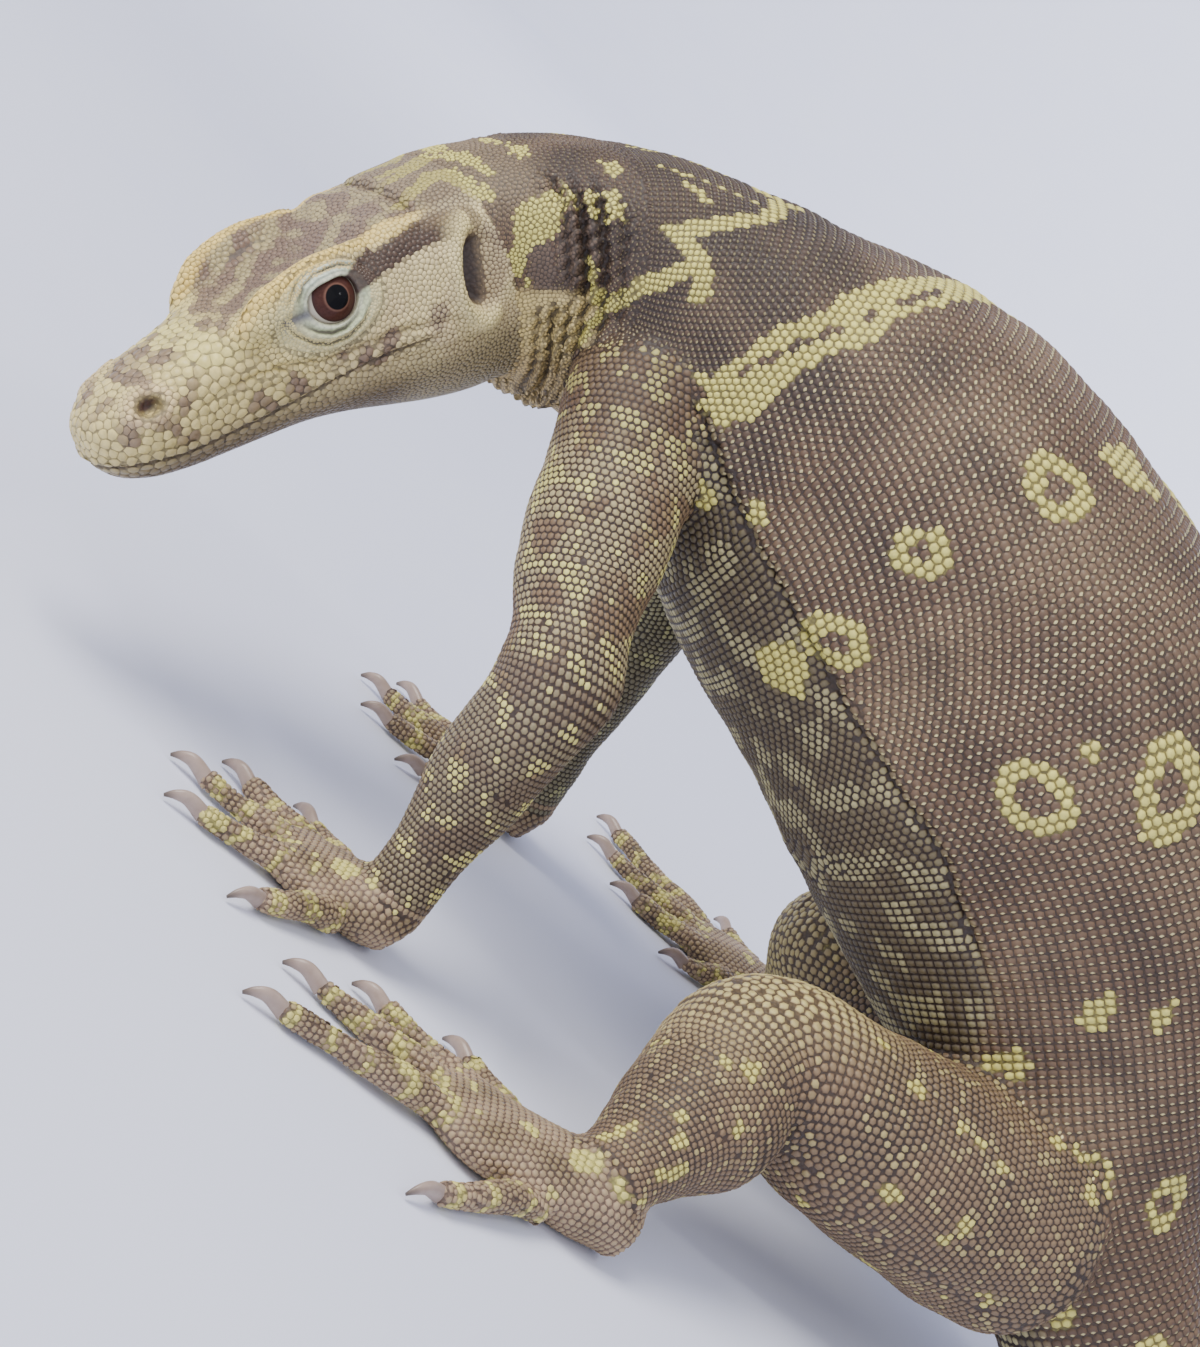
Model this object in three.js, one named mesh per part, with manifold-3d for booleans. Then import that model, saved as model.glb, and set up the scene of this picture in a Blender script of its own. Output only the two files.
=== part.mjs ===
// A water monitor lizard, life size, standing on the floor on its four feet with its tail laid
// out behind it. Millimetres, +Z up, the floor at Z = 0. The animal faces -X, so its own left
// side is -Y. Its neck is arched and its head is lowered and turned to its left.
import * as THREE from 'three';
import { mergeVertices } from 'three/addons/utils/BufferGeometryUtils.js';
import Module from 'manifold-3d';

const wasm = await Module();
wasm.setup();

// Driving dimensions
const CENTRE_SHIFT = [-412.24, -3.5, 0]; // brings the middle of the animal's box to X = 0, Y = 0
const GAP = 0.3;                 // thin parting between neighbouring pieces
const BODY_SIDES = 36;
const NECK_STEP = 3.6;           // length of one ring of the neck, then of trunk and tail
const TRUNK_STEP = 8;
const TAIL_STEP = 15;
const TAIL_SIDES = 20;
const HEAD_LENGTH = 70;          // snout tip to the back of the skull
const HEAD_SIDES = 36;
const HEAD_STEP = 3;
const LIMB_SIDES = 14;
const DIGIT_SIDES = 8;
const CLAW_SIDES = 5;

// Head placing: the snout tip and the head's own backward, right and upward directions
const SNOUT_TIP = new THREE.Vector3(73.5, -59, 27.5);
const HEAD_BACK = new THREE.Vector3(0.184, 0.604, 0.775).normalize();
const HEAD_UP = new THREE.Vector3(-0.709, -0.465, 0.531).normalize();
const HEAD_RIGHT = new THREE.Vector3().crossVectors(HEAD_UP, HEAD_BACK).normalize();

// Spine from the neck behind the head to the tip of the tail.
// Each row: middle x, y, z; half width; height above and below the middle
const NECK = [
  [91.8, -13.4, 87.2, 18.2, 16.8, 25.4],
  [98.8, -11.0, 91.6, 19.4, 19.2, 25.8],
  [106.8, -9.0, 94.6, 20.8, 21.4, 25.2],
  [114.8, -7.0, 96.6, 22.8, 23.6, 25.0],
  [123.0, -5.0, 97.4, 25.2, 26.4, 26.4],
];
const TRUNK = [
  [131.5, -3.0, 97.7, 27.6, 30.0, 28.2],
  [141.5, -0.5, 98.0, 30.0, 33.6, 32.0],
  [151.0, 1.0, 98.1, 32.2, 37.0, 35.6],
  [161.0, 2.0, 97.8, 34.0, 39.6, 38.6],
  [171.0, 3.0, 97.0, 35.4, 41.0, 40.6],
  [181.5, 4.0, 95.5, 36.4, 41.4, 41.4],
  [192.0, 5.0, 93.2, 37.0, 42.2, 42.0],
  [202.0, 5.0, 90.2, 37.2, 42.8, 42.4],
  [212.0, 5.0, 86.2, 37.0, 42.8, 42.4],
  [222.0, 5.0, 81.0, 36.2, 42.2, 41.0],
  [236.5, 5.0, 71.0, 33.4, 39.2, 37.0],
  [250.0, 4.0, 60.0, 29.6, 34.6, 30.5],
  [264.0, 2.0, 48.0, 25.4, 27.4, 24.0],
  [279.0, 0.5, 36.4, 21.6, 21.6, 19.6],
];
const TAIL = [
  [295.0, 0, 26.4, 19.0, 18.6, 18.0],
  [313.0, 0.5, 20.2, 17.4, 17.6, 17.6],
  [334.0, 2.0, 16.6, 15.8, 17.0, 17.2],
  [360.0, 6.0, 15.5, 14.2, 16.6, 16.2],
  [395.0, 14.0, 14.9, 12.4, 16.2, 15.6],
  [435.0, 23.0, 13.9, 10.6, 15.4, 14.6],
  [480.0, 29.0, 12.5, 8.8, 14.0, 13.2],
  [530.0, 29.5, 10.9, 7.2, 12.2, 11.6],
  [580.0, 22.0, 9.2, 5.8, 10.2, 9.8],
  [630.0, 8.5, 7.3, 4.5, 8.2, 7.8],
  [680.0, -6.0, 5.3, 3.3, 6.0, 5.8],
  [725.0, -17.0, 3.5, 2.2, 4.0, 4.0],
  [762.0, -23.0, 1.7, 1.0, 1.5, 2.1],
];
const SKULL_BACK = [17.6, 15.2, 24.2];

// Head sections, snout tip to skull: distance back, half width, top, bottom, squareness above
const HEAD = [
  [0.0, 3.0, 1.6, -4.0, 2.0],
  [1.2, 5.4, 3.0, -6.8, 2.1],
  [4.0, 8.0, 4.8, -9.0, 2.2],
  [8.0, 9.6, 6.2, -10.8, 2.3],
  [14.0, 10.2, 7.4, -12.2, 2.5],
  [20.0, 10.6, 8.2, -13.0, 2.8],
  [27.0, 12.0, 9.8, -13.6, 3.0],
  [34.0, 14.0, 11.4, -14.2, 3.2],
  [41.0, 15.6, 12.2, -16.0, 3.2],
  [48.0, 16.8, 13.2, -18.6, 2.9],
  [56.0, 17.6, 14.2, -21.6, 2.6],
  [64.0, 17.9, 14.6, -23.8, 2.4],
  [70.0, 17.6, 15.0, -24.4, 2.2],
];
const MOUTH_LINE = [
  [-3, -3.8], [2.5, -4.7], [7, -5.2], [12, -6.4], [18, -6.7], [25, -6.5], [31, -5.7],
  [37, -4.5], [43, -3.9], [50, -4.0],
];
const JAW_BACK = [56, -25];      // where the parting of the lower jaw leaves the throat
const EYE = new THREE.Vector3(40.7, 9.6, 6.6);
const EYE_RADIUS = 5.5;
const LID_RADIUS = 6.6;
const LID_OPENING = [4.2, 5, 3.8];
const SOCKET_SIZE = [EYE_RADIUS + GAP, EYE_RADIUS + GAP, EYE_RADIUS + GAP];
const BROW = new THREE.Vector3(38, 10.3, 9.4);
const BROW_SIZE = [13.5, 4.0, 4.8];
const BROW_TILT = -0.24;
const EAR = new THREE.Vector3(64, 17.2, 1.6);
const EAR_RIM = [4.0, 2.2, 7.0];
const EAR_CUP = [2.2, 4, 5.2];
const EAR_TILT = 0.24;
const NOSTRIL = new THREE.Vector3(9.3, 9.0, 3.2);
const NOSTRIL_SIZE = [2.1, 2, 1.1];
const NOSTRIL_TILT = -0.15;

// Limbs: shoulder or hip, elbow or knee, wrist or ankle, and the heading of the hand or foot
const ARMS = {
  left: { side: -1, joints: [[126, -20, 88], [149, -46, 49], [155, -51, 8.5]], heading: 186 },
  right: { side: 1, joints: [[128, 14, 88], [150, 42, 52], [160, 50, 8.5]], heading: 172 },
};
const LEGS = {
  left: { side: -1, joints: [[266, -17, 33], [213, -42, 29], [205, -74, 8.5]], heading: 192 },
  right: { side: 1, joints: [[266, 17, 33], [224, 48, 31], [230, 81, 8.5]], heading: 168 },
};
// Half thicknesses along the limb from the root to the wrist or ankle
const ARM_RADII = [12.2, 12.0, 11.0, 9.6, 8.6, 7.1, 6.3, 6.2];
const LEG_RADII = [18.6, 18.4, 16.4, 13.4, 12.2, 9.4, 7.4, 6.8];
const ROOT_CAP = [[0.55, 0.5], [0.3, 0.84]]; // rounds the first end: share outward, share of radius
const BEND_ROW = ROOT_CAP.length + 3;       // row of the elbow or knee
// Digits: sideways start, start along the palm, angle out of the heading, length
const HAND = {
  palm: 16, width: 10, heel: 5,
  digits: [[7.5, 9, 48, 12], [5.0, 13, 24, 16.5], [0.5, 15, 3, 19], [-4.0, 14, -18, 18], [-7.5, 9, -50, 13.5]],
};
const FOOT = {
  palm: 25, width: 10.5, heel: 9,
  digits: [[7.0, 14, 46, 12.5], [5.0, 20.5, 22, 19], [1.5, 24, 5, 25.5], [-3.5, 23.5, -13, 31.5], [-7.5, 10, -44, 21]],
};
const LIMB_UP = new THREE.Vector3(-1, 0, 0.15);
const DIGIT_RADIUS = 2.9;
const CLAW_LENGTH = 5.8;
const CLAW_RADIUS = 1.4;

// Surfaces
const SKIN = {
  body: { color: 0x6f6152, roughness: 0.7 },
  head: { color: 0xb9ab86, roughness: 0.6 },
  toes: { color: 0xa08a84, roughness: 0.65 },
  eye: { color: 0x3a1a12, roughness: 0.1 },
  claw: { color: 0xb8aba2, roughness: 0.35 },
};

// Smooth values between numbered rows, the same for places and for sizes
function rowAt(rows, u) {
  const i = Math.min(Math.max(Math.floor(u), 0), rows.length - 2);
  const t = u - i;
  const a = rows[Math.max(i - 1, 0)];
  const b = rows[i];
  const c = rows[i + 1];
  const d = rows[Math.min(i + 2, rows.length - 1)];
  return b.map((value, k) => {
    const slopeIn = (c[k] - a[k]) / 2;
    const slopeOut = (d[k] - b[k]) / 2;
    const t2 = t * t;
    const t3 = t2 * t;
    return value * (2 * t3 - 3 * t2 + 1) + slopeIn * (t3 - 2 * t2 + t)
      + c[k] * (3 * t2 - 2 * t3) + slopeOut * (t3 - t2);
  });
}

function placeAt(rows, u) {
  return new THREE.Vector3(...rowAt(rows, u));
}

function headPlace(x, y, z) {
  return SNOUT_TIP.clone().addScaledVector(HEAD_BACK, x)
    .addScaledVector(HEAD_RIGHT, y).addScaledVector(HEAD_UP, z);
}

// Adds to each row of the spine the direction along it and the direction up from it.
// Through the neck both turn evenly from those of the head to those of the trunk.
function withDirections(rows, neckRows) {
  const places = rows.map((row) => new THREE.Vector3(...row));
  const tangent = (i) => places[Math.min(i + 1, rows.length - 1)].clone()
    .sub(places[Math.max(i - 1, 0)]).normalize();
  return rows.map((row, i) => {
    const turn = Math.min(i / neckRows, 1);
    const along = i < neckRows ? HEAD_BACK.clone().lerp(tangent(neckRows), turn) : tangent(i);
    const up = HEAD_UP.clone().lerp(new THREE.Vector3(0, 0, 1), turn);
    return [...row, ...along.normalize().toArray(), ...up.normalize().toArray()];
  });
}

const SPINE = withDirections([
  [...headPlace(HEAD_LENGTH + GAP / 2, 0, 0).toArray(), ...SKULL_BACK],
  ...NECK, ...TRUNK, ...TAIL,
], NECK.length + 1);
const FIRST_TRUNK = NECK.length + 1;
const FIRST_TAIL = FIRST_TRUNK + TRUNK.length;
const LAST = SPINE.length - 1;

function frameAt(rows, u, up) {
  const step = 0.02;
  const ahead = placeAt(rows, Math.min(u + step, rows.length - 1));
  const behind = placeAt(rows, Math.max(u - step, 0));
  const along = ahead.sub(behind).normalize();
  const side = new THREE.Vector3().crossVectors(up, along).normalize();
  return { along, side, up: new THREE.Vector3().crossVectors(along, side).normalize() };
}

// One closed skin over a row of rings of equal count, with a flat fan at each end
function skinOver(rings) {
  const sides = rings[0].length;
  const positions = [];
  const index = [];
  rings.flat().forEach((p) => positions.push(p.x, p.y, p.z));
  for (let r = 0; r + 1 < rings.length; r += 1) {
    for (let s = 0; s < sides; s += 1) {
      const a = r * sides + s;
      const b = r * sides + ((s + 1) % sides);
      index.push(a, a + sides, b, b, a + sides, b + sides);
    }
  }
  [0, rings.length - 1].forEach((r) => {
    const middle = positions.length / 3;
    const centre = new THREE.Vector3();
    rings[r].forEach((p) => centre.addScaledVector(p, 1 / sides));
    positions.push(centre.x, centre.y, centre.z);
    for (let s = 0; s < sides; s += 1) {
      const a = r * sides + s;
      const b = r * sides + ((s + 1) % sides);
      if (r === 0) index.push(middle, a, b);
      else index.push(middle, b, a);
    }
  });
  const geometry = new THREE.BufferGeometry();
  geometry.setAttribute('position', new THREE.Float32BufferAttribute(positions, 3));
  geometry.setIndex(index);
  return geometry;
}

function roundPower(value, squareness) {
  return Math.sign(value) * Math.abs(value) ** (2 / squareness);
}

// Ring of the spine at u, grown outward, moved along the spine and kept above the floor
function spineRing(u, sides, grow, shift) {
  const [x, y, z, width, top, bottom, ...directions] = rowAt(SPINE, u);
  const along = new THREE.Vector3(...directions.slice(0, 3)).normalize();
  const side = new THREE.Vector3(...directions.slice(3)).cross(along).normalize();
  const up = along.clone().cross(side);
  const squareness = u > FIRST_TAIL ? 2.0 : 2.2;
  const ring = [];
  for (let s = 0; s < sides; s += 1) {
    const angle = (2 * Math.PI * (s + 0.5)) / sides;
    const height = Math.cos(angle) > 0 ? top : bottom;
    const across = (width + grow) * roundPower(Math.sin(angle), squareness);
    const rise = (height + grow) * roundPower(Math.cos(angle), squareness);
    const p = new THREE.Vector3(x, y, z).addScaledVector(side, across)
      .addScaledVector(up, rise).addScaledVector(along, shift);
    p.z = Math.max(p.z, 0);
    ring.push(p);
  }
  return ring;
}

function spineLoft(from, to, step, sides, grow = 0) {
  let length = 0;
  const parts = 60;
  for (let i = 0; i < parts; i += 1) {
    const a = placeAt(SPINE, from + ((to - from) * i) / parts);
    length += a.distanceTo(placeAt(SPINE, from + ((to - from) * (i + 1)) / parts));
  }
  const count = Math.max(2, Math.round(length / step));
  const rings = [];
  for (let i = 0; i <= count; i += 1) {
    const shift = i === 0 ? GAP / 2 : i === count ? -GAP / 2 : 0;
    rings.push(spineRing(from + ((to - from) * i) / count, sides, grow, shift));
  }
  return skinOver(rings);
}

function headRowIndex(x) {
  let i = 0;
  while (i < HEAD.length - 2 && HEAD[i + 1][0] < x) i += 1;
  let low = i;
  let high = i + 1;
  for (let n = 0; n < 24; n += 1) {
    const middle = (low + high) / 2;
    if (rowAt(HEAD, middle)[0] < x) low = middle;
    else high = middle;
  }
  return low;
}

function headLoft() {
  const rings = [];
  const places = [0, 0.5, 1.2, 2.4];
  for (let x = 4; x < HEAD_LENGTH - 1; x += HEAD_STEP) places.push(x);
  places.push(HEAD_LENGTH);
  places.forEach((x) => {
    const [, width, top, bottom, squareness] = rowAt(HEAD, headRowIndex(x));
    const ring = [];
    for (let s = 0; s < HEAD_SIDES; s += 1) {
      const angle = (2 * Math.PI * s) / HEAD_SIDES;
      const above = Math.cos(angle) > 0;
      const n = above ? squareness : 2.2;
      const across = width * roundPower(Math.sin(angle), n);
      const rise = (above ? top : -bottom) * roundPower(Math.cos(angle), n);
      ring.push(new THREE.Vector3(x, across, rise));
    }
    rings.push(ring);
  });
  return skinOver(rings);
}

function toManifold(geometry) {
  const bare = geometry.clone();
  bare.deleteAttribute('normal');
  bare.deleteAttribute('uv');
  const merged = mergeVertices(bare, 1e-4);
  const mesh = new wasm.Mesh({
    numProp: 3,
    vertProperties: new Float32Array(merged.attributes.position.array),
    triVerts: new Uint32Array(merged.index.array),
  });
  return new wasm.Manifold(mesh);
}

function toGeometry(solid) {
  const pieces = solid.decompose();
  const largest = pieces.reduce((a, b) => (a.volume() > b.volume() ? a : b));
  const mesh = largest.getMesh();
  const geometry = new THREE.BufferGeometry();
  geometry.setAttribute('position', new THREE.Float32BufferAttribute(mesh.vertProperties, 3));
  geometry.setIndex(Array.from(mesh.triVerts));
  return geometry;
}

function ellipsoid(centre, rx, ry, rz, wide = 16, high = 10, tilt = 0) {
  const ball = new THREE.SphereGeometry(1, wide, high);
  ball.scale(rx, ry, rz);
  ball.rotateY(tilt);
  ball.translate(centre.x, centre.y, centre.z);
  return toManifold(ball);
}

// Upright plate across the head, from a side outline in head lengths and heights
function acrossHead(outline, halfWidth) {
  const shape = new THREE.Shape(outline.map(([x, z]) => new THREE.Vector2(x, z)));
  const plate = new THREE.ExtrudeGeometry(shape, { depth: 2 * halfWidth, bevelEnabled: false });
  plate.translate(0, 0, -halfWidth);
  plate.rotateX(Math.PI / 2);
  return toManifold(plate);
}

// Brow shelves, lids, ear cups and nostrils, then the parting along the line of the mouth
function makeHead() {
  let head = toManifold(headLoft());
  [-1, 1].forEach((side) => {
    const onSide = (place, outward = 0) => place.clone().setY(side * (place.y + outward));
    head = head.add(ellipsoid(onSide(BROW), ...BROW_SIZE, 14, 8, BROW_TILT));
    head = head.add(ellipsoid(onSide(EYE), LID_RADIUS, LID_RADIUS, LID_RADIUS, 16, 10));
    head = head.subtract(ellipsoid(onSide(EYE), ...SOCKET_SIZE, 16, 10));
    head = head.subtract(ellipsoid(onSide(EYE, 6), ...LID_OPENING, 12, 6));
    head = head.add(ellipsoid(onSide(EAR), ...EAR_RIM, 12, 8, EAR_TILT));
    head = head.subtract(ellipsoid(onSide(EAR, 1.4), ...EAR_CUP, 10, 6, EAR_TILT));
    head = head.subtract(ellipsoid(onSide(NOSTRIL), ...NOSTRIL_SIZE, 8, 6, NOSTRIL_TILT));
  });
  const below = [...MOUTH_LINE, JAW_BACK, [JAW_BACK[0], -32], [MOUTH_LINE[0][0], -32]];
  const grown = below.map(([x, z], i) => [i ? x + GAP : x, i < MOUTH_LINE.length ? z + GAP : z]);
  const jaw = head.intersect(acrossHead(below, 30));
  const upper = head.subtract(acrossHead(grown, 31));
  return { upper: toGeometry(upper), jaw: toGeometry(jaw) };
}

function makeEye(side) {
  const ball = new THREE.SphereGeometry(EYE_RADIUS, 14, 10);
  ball.translate(EYE.x, side * EYE.y, EYE.z);
  return ball.deleteAttribute('normal').deleteAttribute('uv');
}

// Loft over part of a row of places, each with a half width and a half height, kept above the floor
function roundLoft(rows, { from = 0, to = rows.length - 1, count, sides, up, start = 0, end = 0, grow = 0 }) {
  const rings = [];
  for (let i = 0; i <= count; i += 1) {
    const u = from + ((to - from) * i) / count;
    const [x, y, z, width, height] = rowAt(rows, u);
    const frame = frameAt(rows, u, up);
    const shift = i === 0 ? start : i === count ? end : 0;
    const ring = [];
    for (let s = 0; s < sides; s += 1) {
      const angle = (2 * Math.PI * (s + 0.5)) / sides;
      const p = new THREE.Vector3(x, y, z)
        .addScaledVector(frame.side, (width + grow) * Math.sin(angle))
        .addScaledVector(frame.up, (height + grow) * Math.cos(angle))
        .addScaledVector(frame.along, shift);
      p.z = Math.max(p.z, 0);
      ring.push(p);
    }
    rings.push(ring);
  }
  return skinOver(rings);
}

// The limb as one smooth row of places, four down to the elbow or knee and four below it
function limbRows(joints, radii) {
  const [root, middle, end] = joints;
  const mix = (a, b, t) => a.map((v, k) => v + (b[k] - v) * t);
  const places = [root, mix(root, middle, 0.32), mix(root, middle, 0.62), middle];
  places.push(mix(middle, end, 0.42), mix(middle, end, 0.7), mix(middle, end, 0.88), end);
  const outward = new THREE.Vector3(...root).sub(new THREE.Vector3(...middle)).normalize();
  const caps = ROOT_CAP.map(([out, share]) => [
    ...new THREE.Vector3(...root).addScaledVector(outward, out * radii[0]).toArray(),
    radii[0] * share, radii[0] * share,
  ]);
  return [...caps, ...places.map((p, i) => [...p, radii[i], radii[i]])];
}

function makeLimb(limb, radii, bodyCut) {
  const rows = limbRows(limb.joints, radii);
  const shared = { sides: LIMB_SIDES, up: LIMB_UP };
  const half = GAP / 2;
  const upper = roundLoft(rows, { ...shared, to: BEND_ROW, count: 10, end: -half });
  const lower = roundLoft(rows, { ...shared, from: BEND_ROW, count: 7, start: half, end: -half });
  const upperSpace = roundLoft(rows, { ...shared, to: BEND_ROW, count: 10, end: half, grow: GAP });
  const socket = roundLoft(rows, { ...shared, from: BEND_ROW + 0.5, count: 7, end: half, grow: GAP });
  return {
    upper: toGeometry(toManifold(upper).subtract(bodyCut)),
    lower: toGeometry(toManifold(lower).subtract(toManifold(upperSpace))),
    socket: toManifold(socket),
  };
}

function makePaw(limb, plan, socket) {
  const heading = THREE.MathUtils.degToRad(limb.heading);
  const forward = new THREE.Vector3(Math.cos(heading), Math.sin(heading), 0);
  const inward = new THREE.Vector3(0, -limb.side, 0).projectOnPlane(forward).normalize();
  const wrist = new THREE.Vector3(...limb.joints[2]);
  const up = new THREE.Vector3(0, 0, 1);
  const at = (along, across, z) => {
    const p = wrist.clone().addScaledVector(forward, along).addScaledVector(inward, across);
    return [p.x, p.y, z];
  };
  const palm = [
    [...at(-plan.heel, 0, 4.6), 4.6, 4.6],
    [...at(0, 0, 5.8), 7.6, 6.6],
    [...at(plan.palm * 0.45, 0, 4.4), plan.width * 0.92, 5.2],
    [...at(plan.palm * 0.85, 0, 3.3), plan.width, 4.1],
    [...at(plan.palm + 2.5, 0, 2.7), plan.width * 0.7, 3.0],
  ];
  let paw = toManifold(roundLoft(palm, { count: 8, sides: LIMB_SIDES, up }));
  const claws = [];
  plan.digits.forEach(([across, start, angle, length]) => {
    const turn = THREE.MathUtils.degToRad(angle);
    const way = forward.clone().multiplyScalar(Math.cos(turn)).addScaledVector(inward, Math.sin(turn));
    const root = new THREE.Vector3(...at(start - 4, across, 0));
    const along = (d, z, radius) => {
      const p = root.clone().addScaledVector(way, d);
      return [p.x, p.y, z, radius, radius * 1.02];
    };
    const full = length + 4;
    const rows = [
      along(0, 2.7, DIGIT_RADIUS),
      along(full * 0.35, 3.5, DIGIT_RADIUS),
      along(full * 0.68, 2.5, DIGIT_RADIUS * 0.86),
      along(full, 2.0, DIGIT_RADIUS * 0.78),
    ];
    paw = paw.add(toManifold(roundLoft(rows, { count: 4, sides: DIGIT_SIDES, up })));
    const clawRow = (d, z, r) => {
      const p = root.clone().addScaledVector(way, full + d);
      return [p.x, p.y, z, r * 0.72, r];
    };
    const clawRows = [
      clawRow(2 * GAP, 2.2, CLAW_RADIUS),
      clawRow(CLAW_LENGTH * 0.4, 2.6, CLAW_RADIUS * 0.86),
      clawRow(CLAW_LENGTH * 0.75, 2.0, CLAW_RADIUS * 0.6),
      clawRow(CLAW_LENGTH, 0.8, 0.28),
    ];
    claws.push(roundLoft(clawRows, { count: 4, sides: CLAW_SIDES, up }));
  });
  return { paw: paw.subtract(socket), claws };
}

const animal = new THREE.Group();
animal.position.set(...CENTRE_SHIFT);
const headGroup = new THREE.Group();
headGroup.position.copy(SNOUT_TIP);
headGroup.quaternion.setFromRotationMatrix(new THREE.Matrix4().makeBasis(HEAD_BACK, HEAD_RIGHT, HEAD_UP));
animal.add(headGroup);

function addMesh(parent, name, geometry, { color, roughness }) {
  const merged = mergeVertices(geometry, 1e-4);
  merged.computeVertexNormals();
  const mesh = new THREE.Mesh(merged, new THREE.MeshStandardMaterial({ color, roughness, metalness: 0 }));
  mesh.name = name;
  parent.add(mesh);
}

const head = makeHead();
addMesh(headGroup, 'head', head.upper, SKIN.head);
addMesh(headGroup, 'lower_jaw', head.jaw, SKIN.head);
addMesh(headGroup, 'eye_left', makeEye(-1), SKIN.eye);
addMesh(headGroup, 'eye_right', makeEye(1), SKIN.eye);

const spineCuts = [
  ['neck', 0, FIRST_TRUNK - 0.5, NECK_STEP, BODY_SIDES],
  ['chest', FIRST_TRUNK - 0.5, FIRST_TRUNK + 4, TRUNK_STEP, BODY_SIDES],
  ['belly', FIRST_TRUNK + 4, FIRST_TRUNK + 9.5, TRUNK_STEP, BODY_SIDES],
  ['pelvis', FIRST_TRUNK + 9.5, FIRST_TAIL, TRUNK_STEP, BODY_SIDES],
  ['tail_1', FIRST_TAIL, FIRST_TAIL + 3, TAIL_STEP * 0.7, TAIL_SIDES],
  ['tail_2', FIRST_TAIL + 3, FIRST_TAIL + 5, TAIL_STEP, TAIL_SIDES],
  ['tail_3', FIRST_TAIL + 5, FIRST_TAIL + 7, TAIL_STEP, TAIL_SIDES],
  ['tail_4', FIRST_TAIL + 7, FIRST_TAIL + 9, TAIL_STEP, TAIL_SIDES],
  ['tail_5', FIRST_TAIL + 9, LAST, TAIL_STEP, TAIL_SIDES],
];
spineCuts.forEach(([name, from, to, step, sides]) => {
  addMesh(animal, name, spineLoft(from, to, step, sides), SKIN.body);
});

const bodyCut = toManifold(spineLoft(0.2, FIRST_TAIL + 2, TRUNK_STEP * 0.8, BODY_SIDES, GAP + 0.15));
const limbKinds = [
  { limbs: ARMS, radii: ARM_RADII, plan: HAND, names: ['upper_arm', 'forearm', 'hand'], claw: 'finger_claw' },
  { limbs: LEGS, radii: LEG_RADII, plan: FOOT, names: ['thigh', 'shank', 'foot'], claw: 'toe_claw' },
];
limbKinds.forEach(({ limbs, radii, plan, names, claw }) => {
  Object.entries(limbs).forEach(([side, limb]) => {
    const { upper, lower, socket } = makeLimb(limb, radii, bodyCut);
    addMesh(animal, `${names[0]}_${side}`, upper, SKIN.body);
    addMesh(animal, `${names[1]}_${side}`, lower, SKIN.body);
    const { paw, claws } = makePaw(limb, plan, socket);
    addMesh(animal, `${names[2]}_${side}`, toGeometry(paw), SKIN.toes);
    claws.forEach((geometry, i) => addMesh(animal, `${claw}_${side}_${i + 1}`, geometry, SKIN.claw));
  });
});

export default animal;
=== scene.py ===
# A water monitor lizard on a pale studio floor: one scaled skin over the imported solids, glassy
# eyes and horn claws. Shapes are worked out in millimetres in the part's own frame.
import itertools
import math

import bmesh
import bpy
import numpy as np
from mathutils import Matrix, Vector
from mathutils.bvhtree import BVHTree
from mathutils.kdtree import KDTree


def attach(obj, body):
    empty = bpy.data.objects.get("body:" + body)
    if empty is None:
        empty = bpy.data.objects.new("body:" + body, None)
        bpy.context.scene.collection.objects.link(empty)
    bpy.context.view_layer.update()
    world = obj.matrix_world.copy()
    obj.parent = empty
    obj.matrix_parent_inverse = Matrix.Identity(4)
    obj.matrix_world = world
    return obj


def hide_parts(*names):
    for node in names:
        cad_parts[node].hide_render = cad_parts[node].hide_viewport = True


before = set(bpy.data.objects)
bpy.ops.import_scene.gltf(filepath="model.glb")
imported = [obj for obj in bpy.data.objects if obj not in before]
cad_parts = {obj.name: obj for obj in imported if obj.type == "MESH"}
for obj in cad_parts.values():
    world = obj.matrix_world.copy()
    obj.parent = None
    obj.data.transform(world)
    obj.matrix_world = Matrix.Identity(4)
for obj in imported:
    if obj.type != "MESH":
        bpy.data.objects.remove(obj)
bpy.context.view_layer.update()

MM = 0.001
RNG = np.random.default_rng(7)

# Places and sizes shared with the solids
CENTRE_SHIFT = np.array([-412.24, -3.5, 0.0])
SNOUT_TIP = np.array([73.5, -59.0, 27.5])
HEAD_BACK = np.array([0.184, 0.604, 0.775])
HEAD_UP = np.array([-0.709, -0.465, 0.531])
HEAD_LENGTH = 70.0
SKULL_BACK = [17.6, 15.2, 24.2]
NECK = [
    [91.8, -13.4, 87.2, 18.2, 16.8, 25.4], [98.8, -11.0, 91.6, 19.4, 19.2, 25.8],
    [106.8, -9.0, 94.6, 20.8, 21.4, 25.2], [114.8, -7.0, 96.6, 22.8, 23.6, 25.0],
    [123.0, -5.0, 97.4, 25.2, 26.4, 26.4],
]
TRUNK = [
    [131.5, -3.0, 97.7, 27.6, 30.0, 28.2], [141.5, -0.5, 98.0, 30.0, 33.6, 32.0],
    [151.0, 1.0, 98.1, 32.2, 37.0, 35.6], [161.0, 2.0, 97.8, 34.0, 39.6, 38.6],
    [171.0, 3.0, 97.0, 35.4, 41.0, 40.6], [181.5, 4.0, 95.5, 36.4, 41.4, 41.4],
    [192.0, 5.0, 93.2, 37.0, 42.2, 42.0], [202.0, 5.0, 90.2, 37.2, 42.8, 42.4],
    [212.0, 5.0, 86.2, 37.0, 42.8, 42.4], [222.0, 5.0, 81.0, 36.2, 42.2, 41.0],
    [236.5, 5.0, 71.0, 33.4, 39.2, 37.0], [250.0, 4.0, 60.0, 29.6, 34.6, 30.5],
    [264.0, 2.0, 48.0, 25.4, 27.4, 24.0], [279.0, 0.5, 36.4, 21.6, 21.6, 19.6],
]
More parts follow.
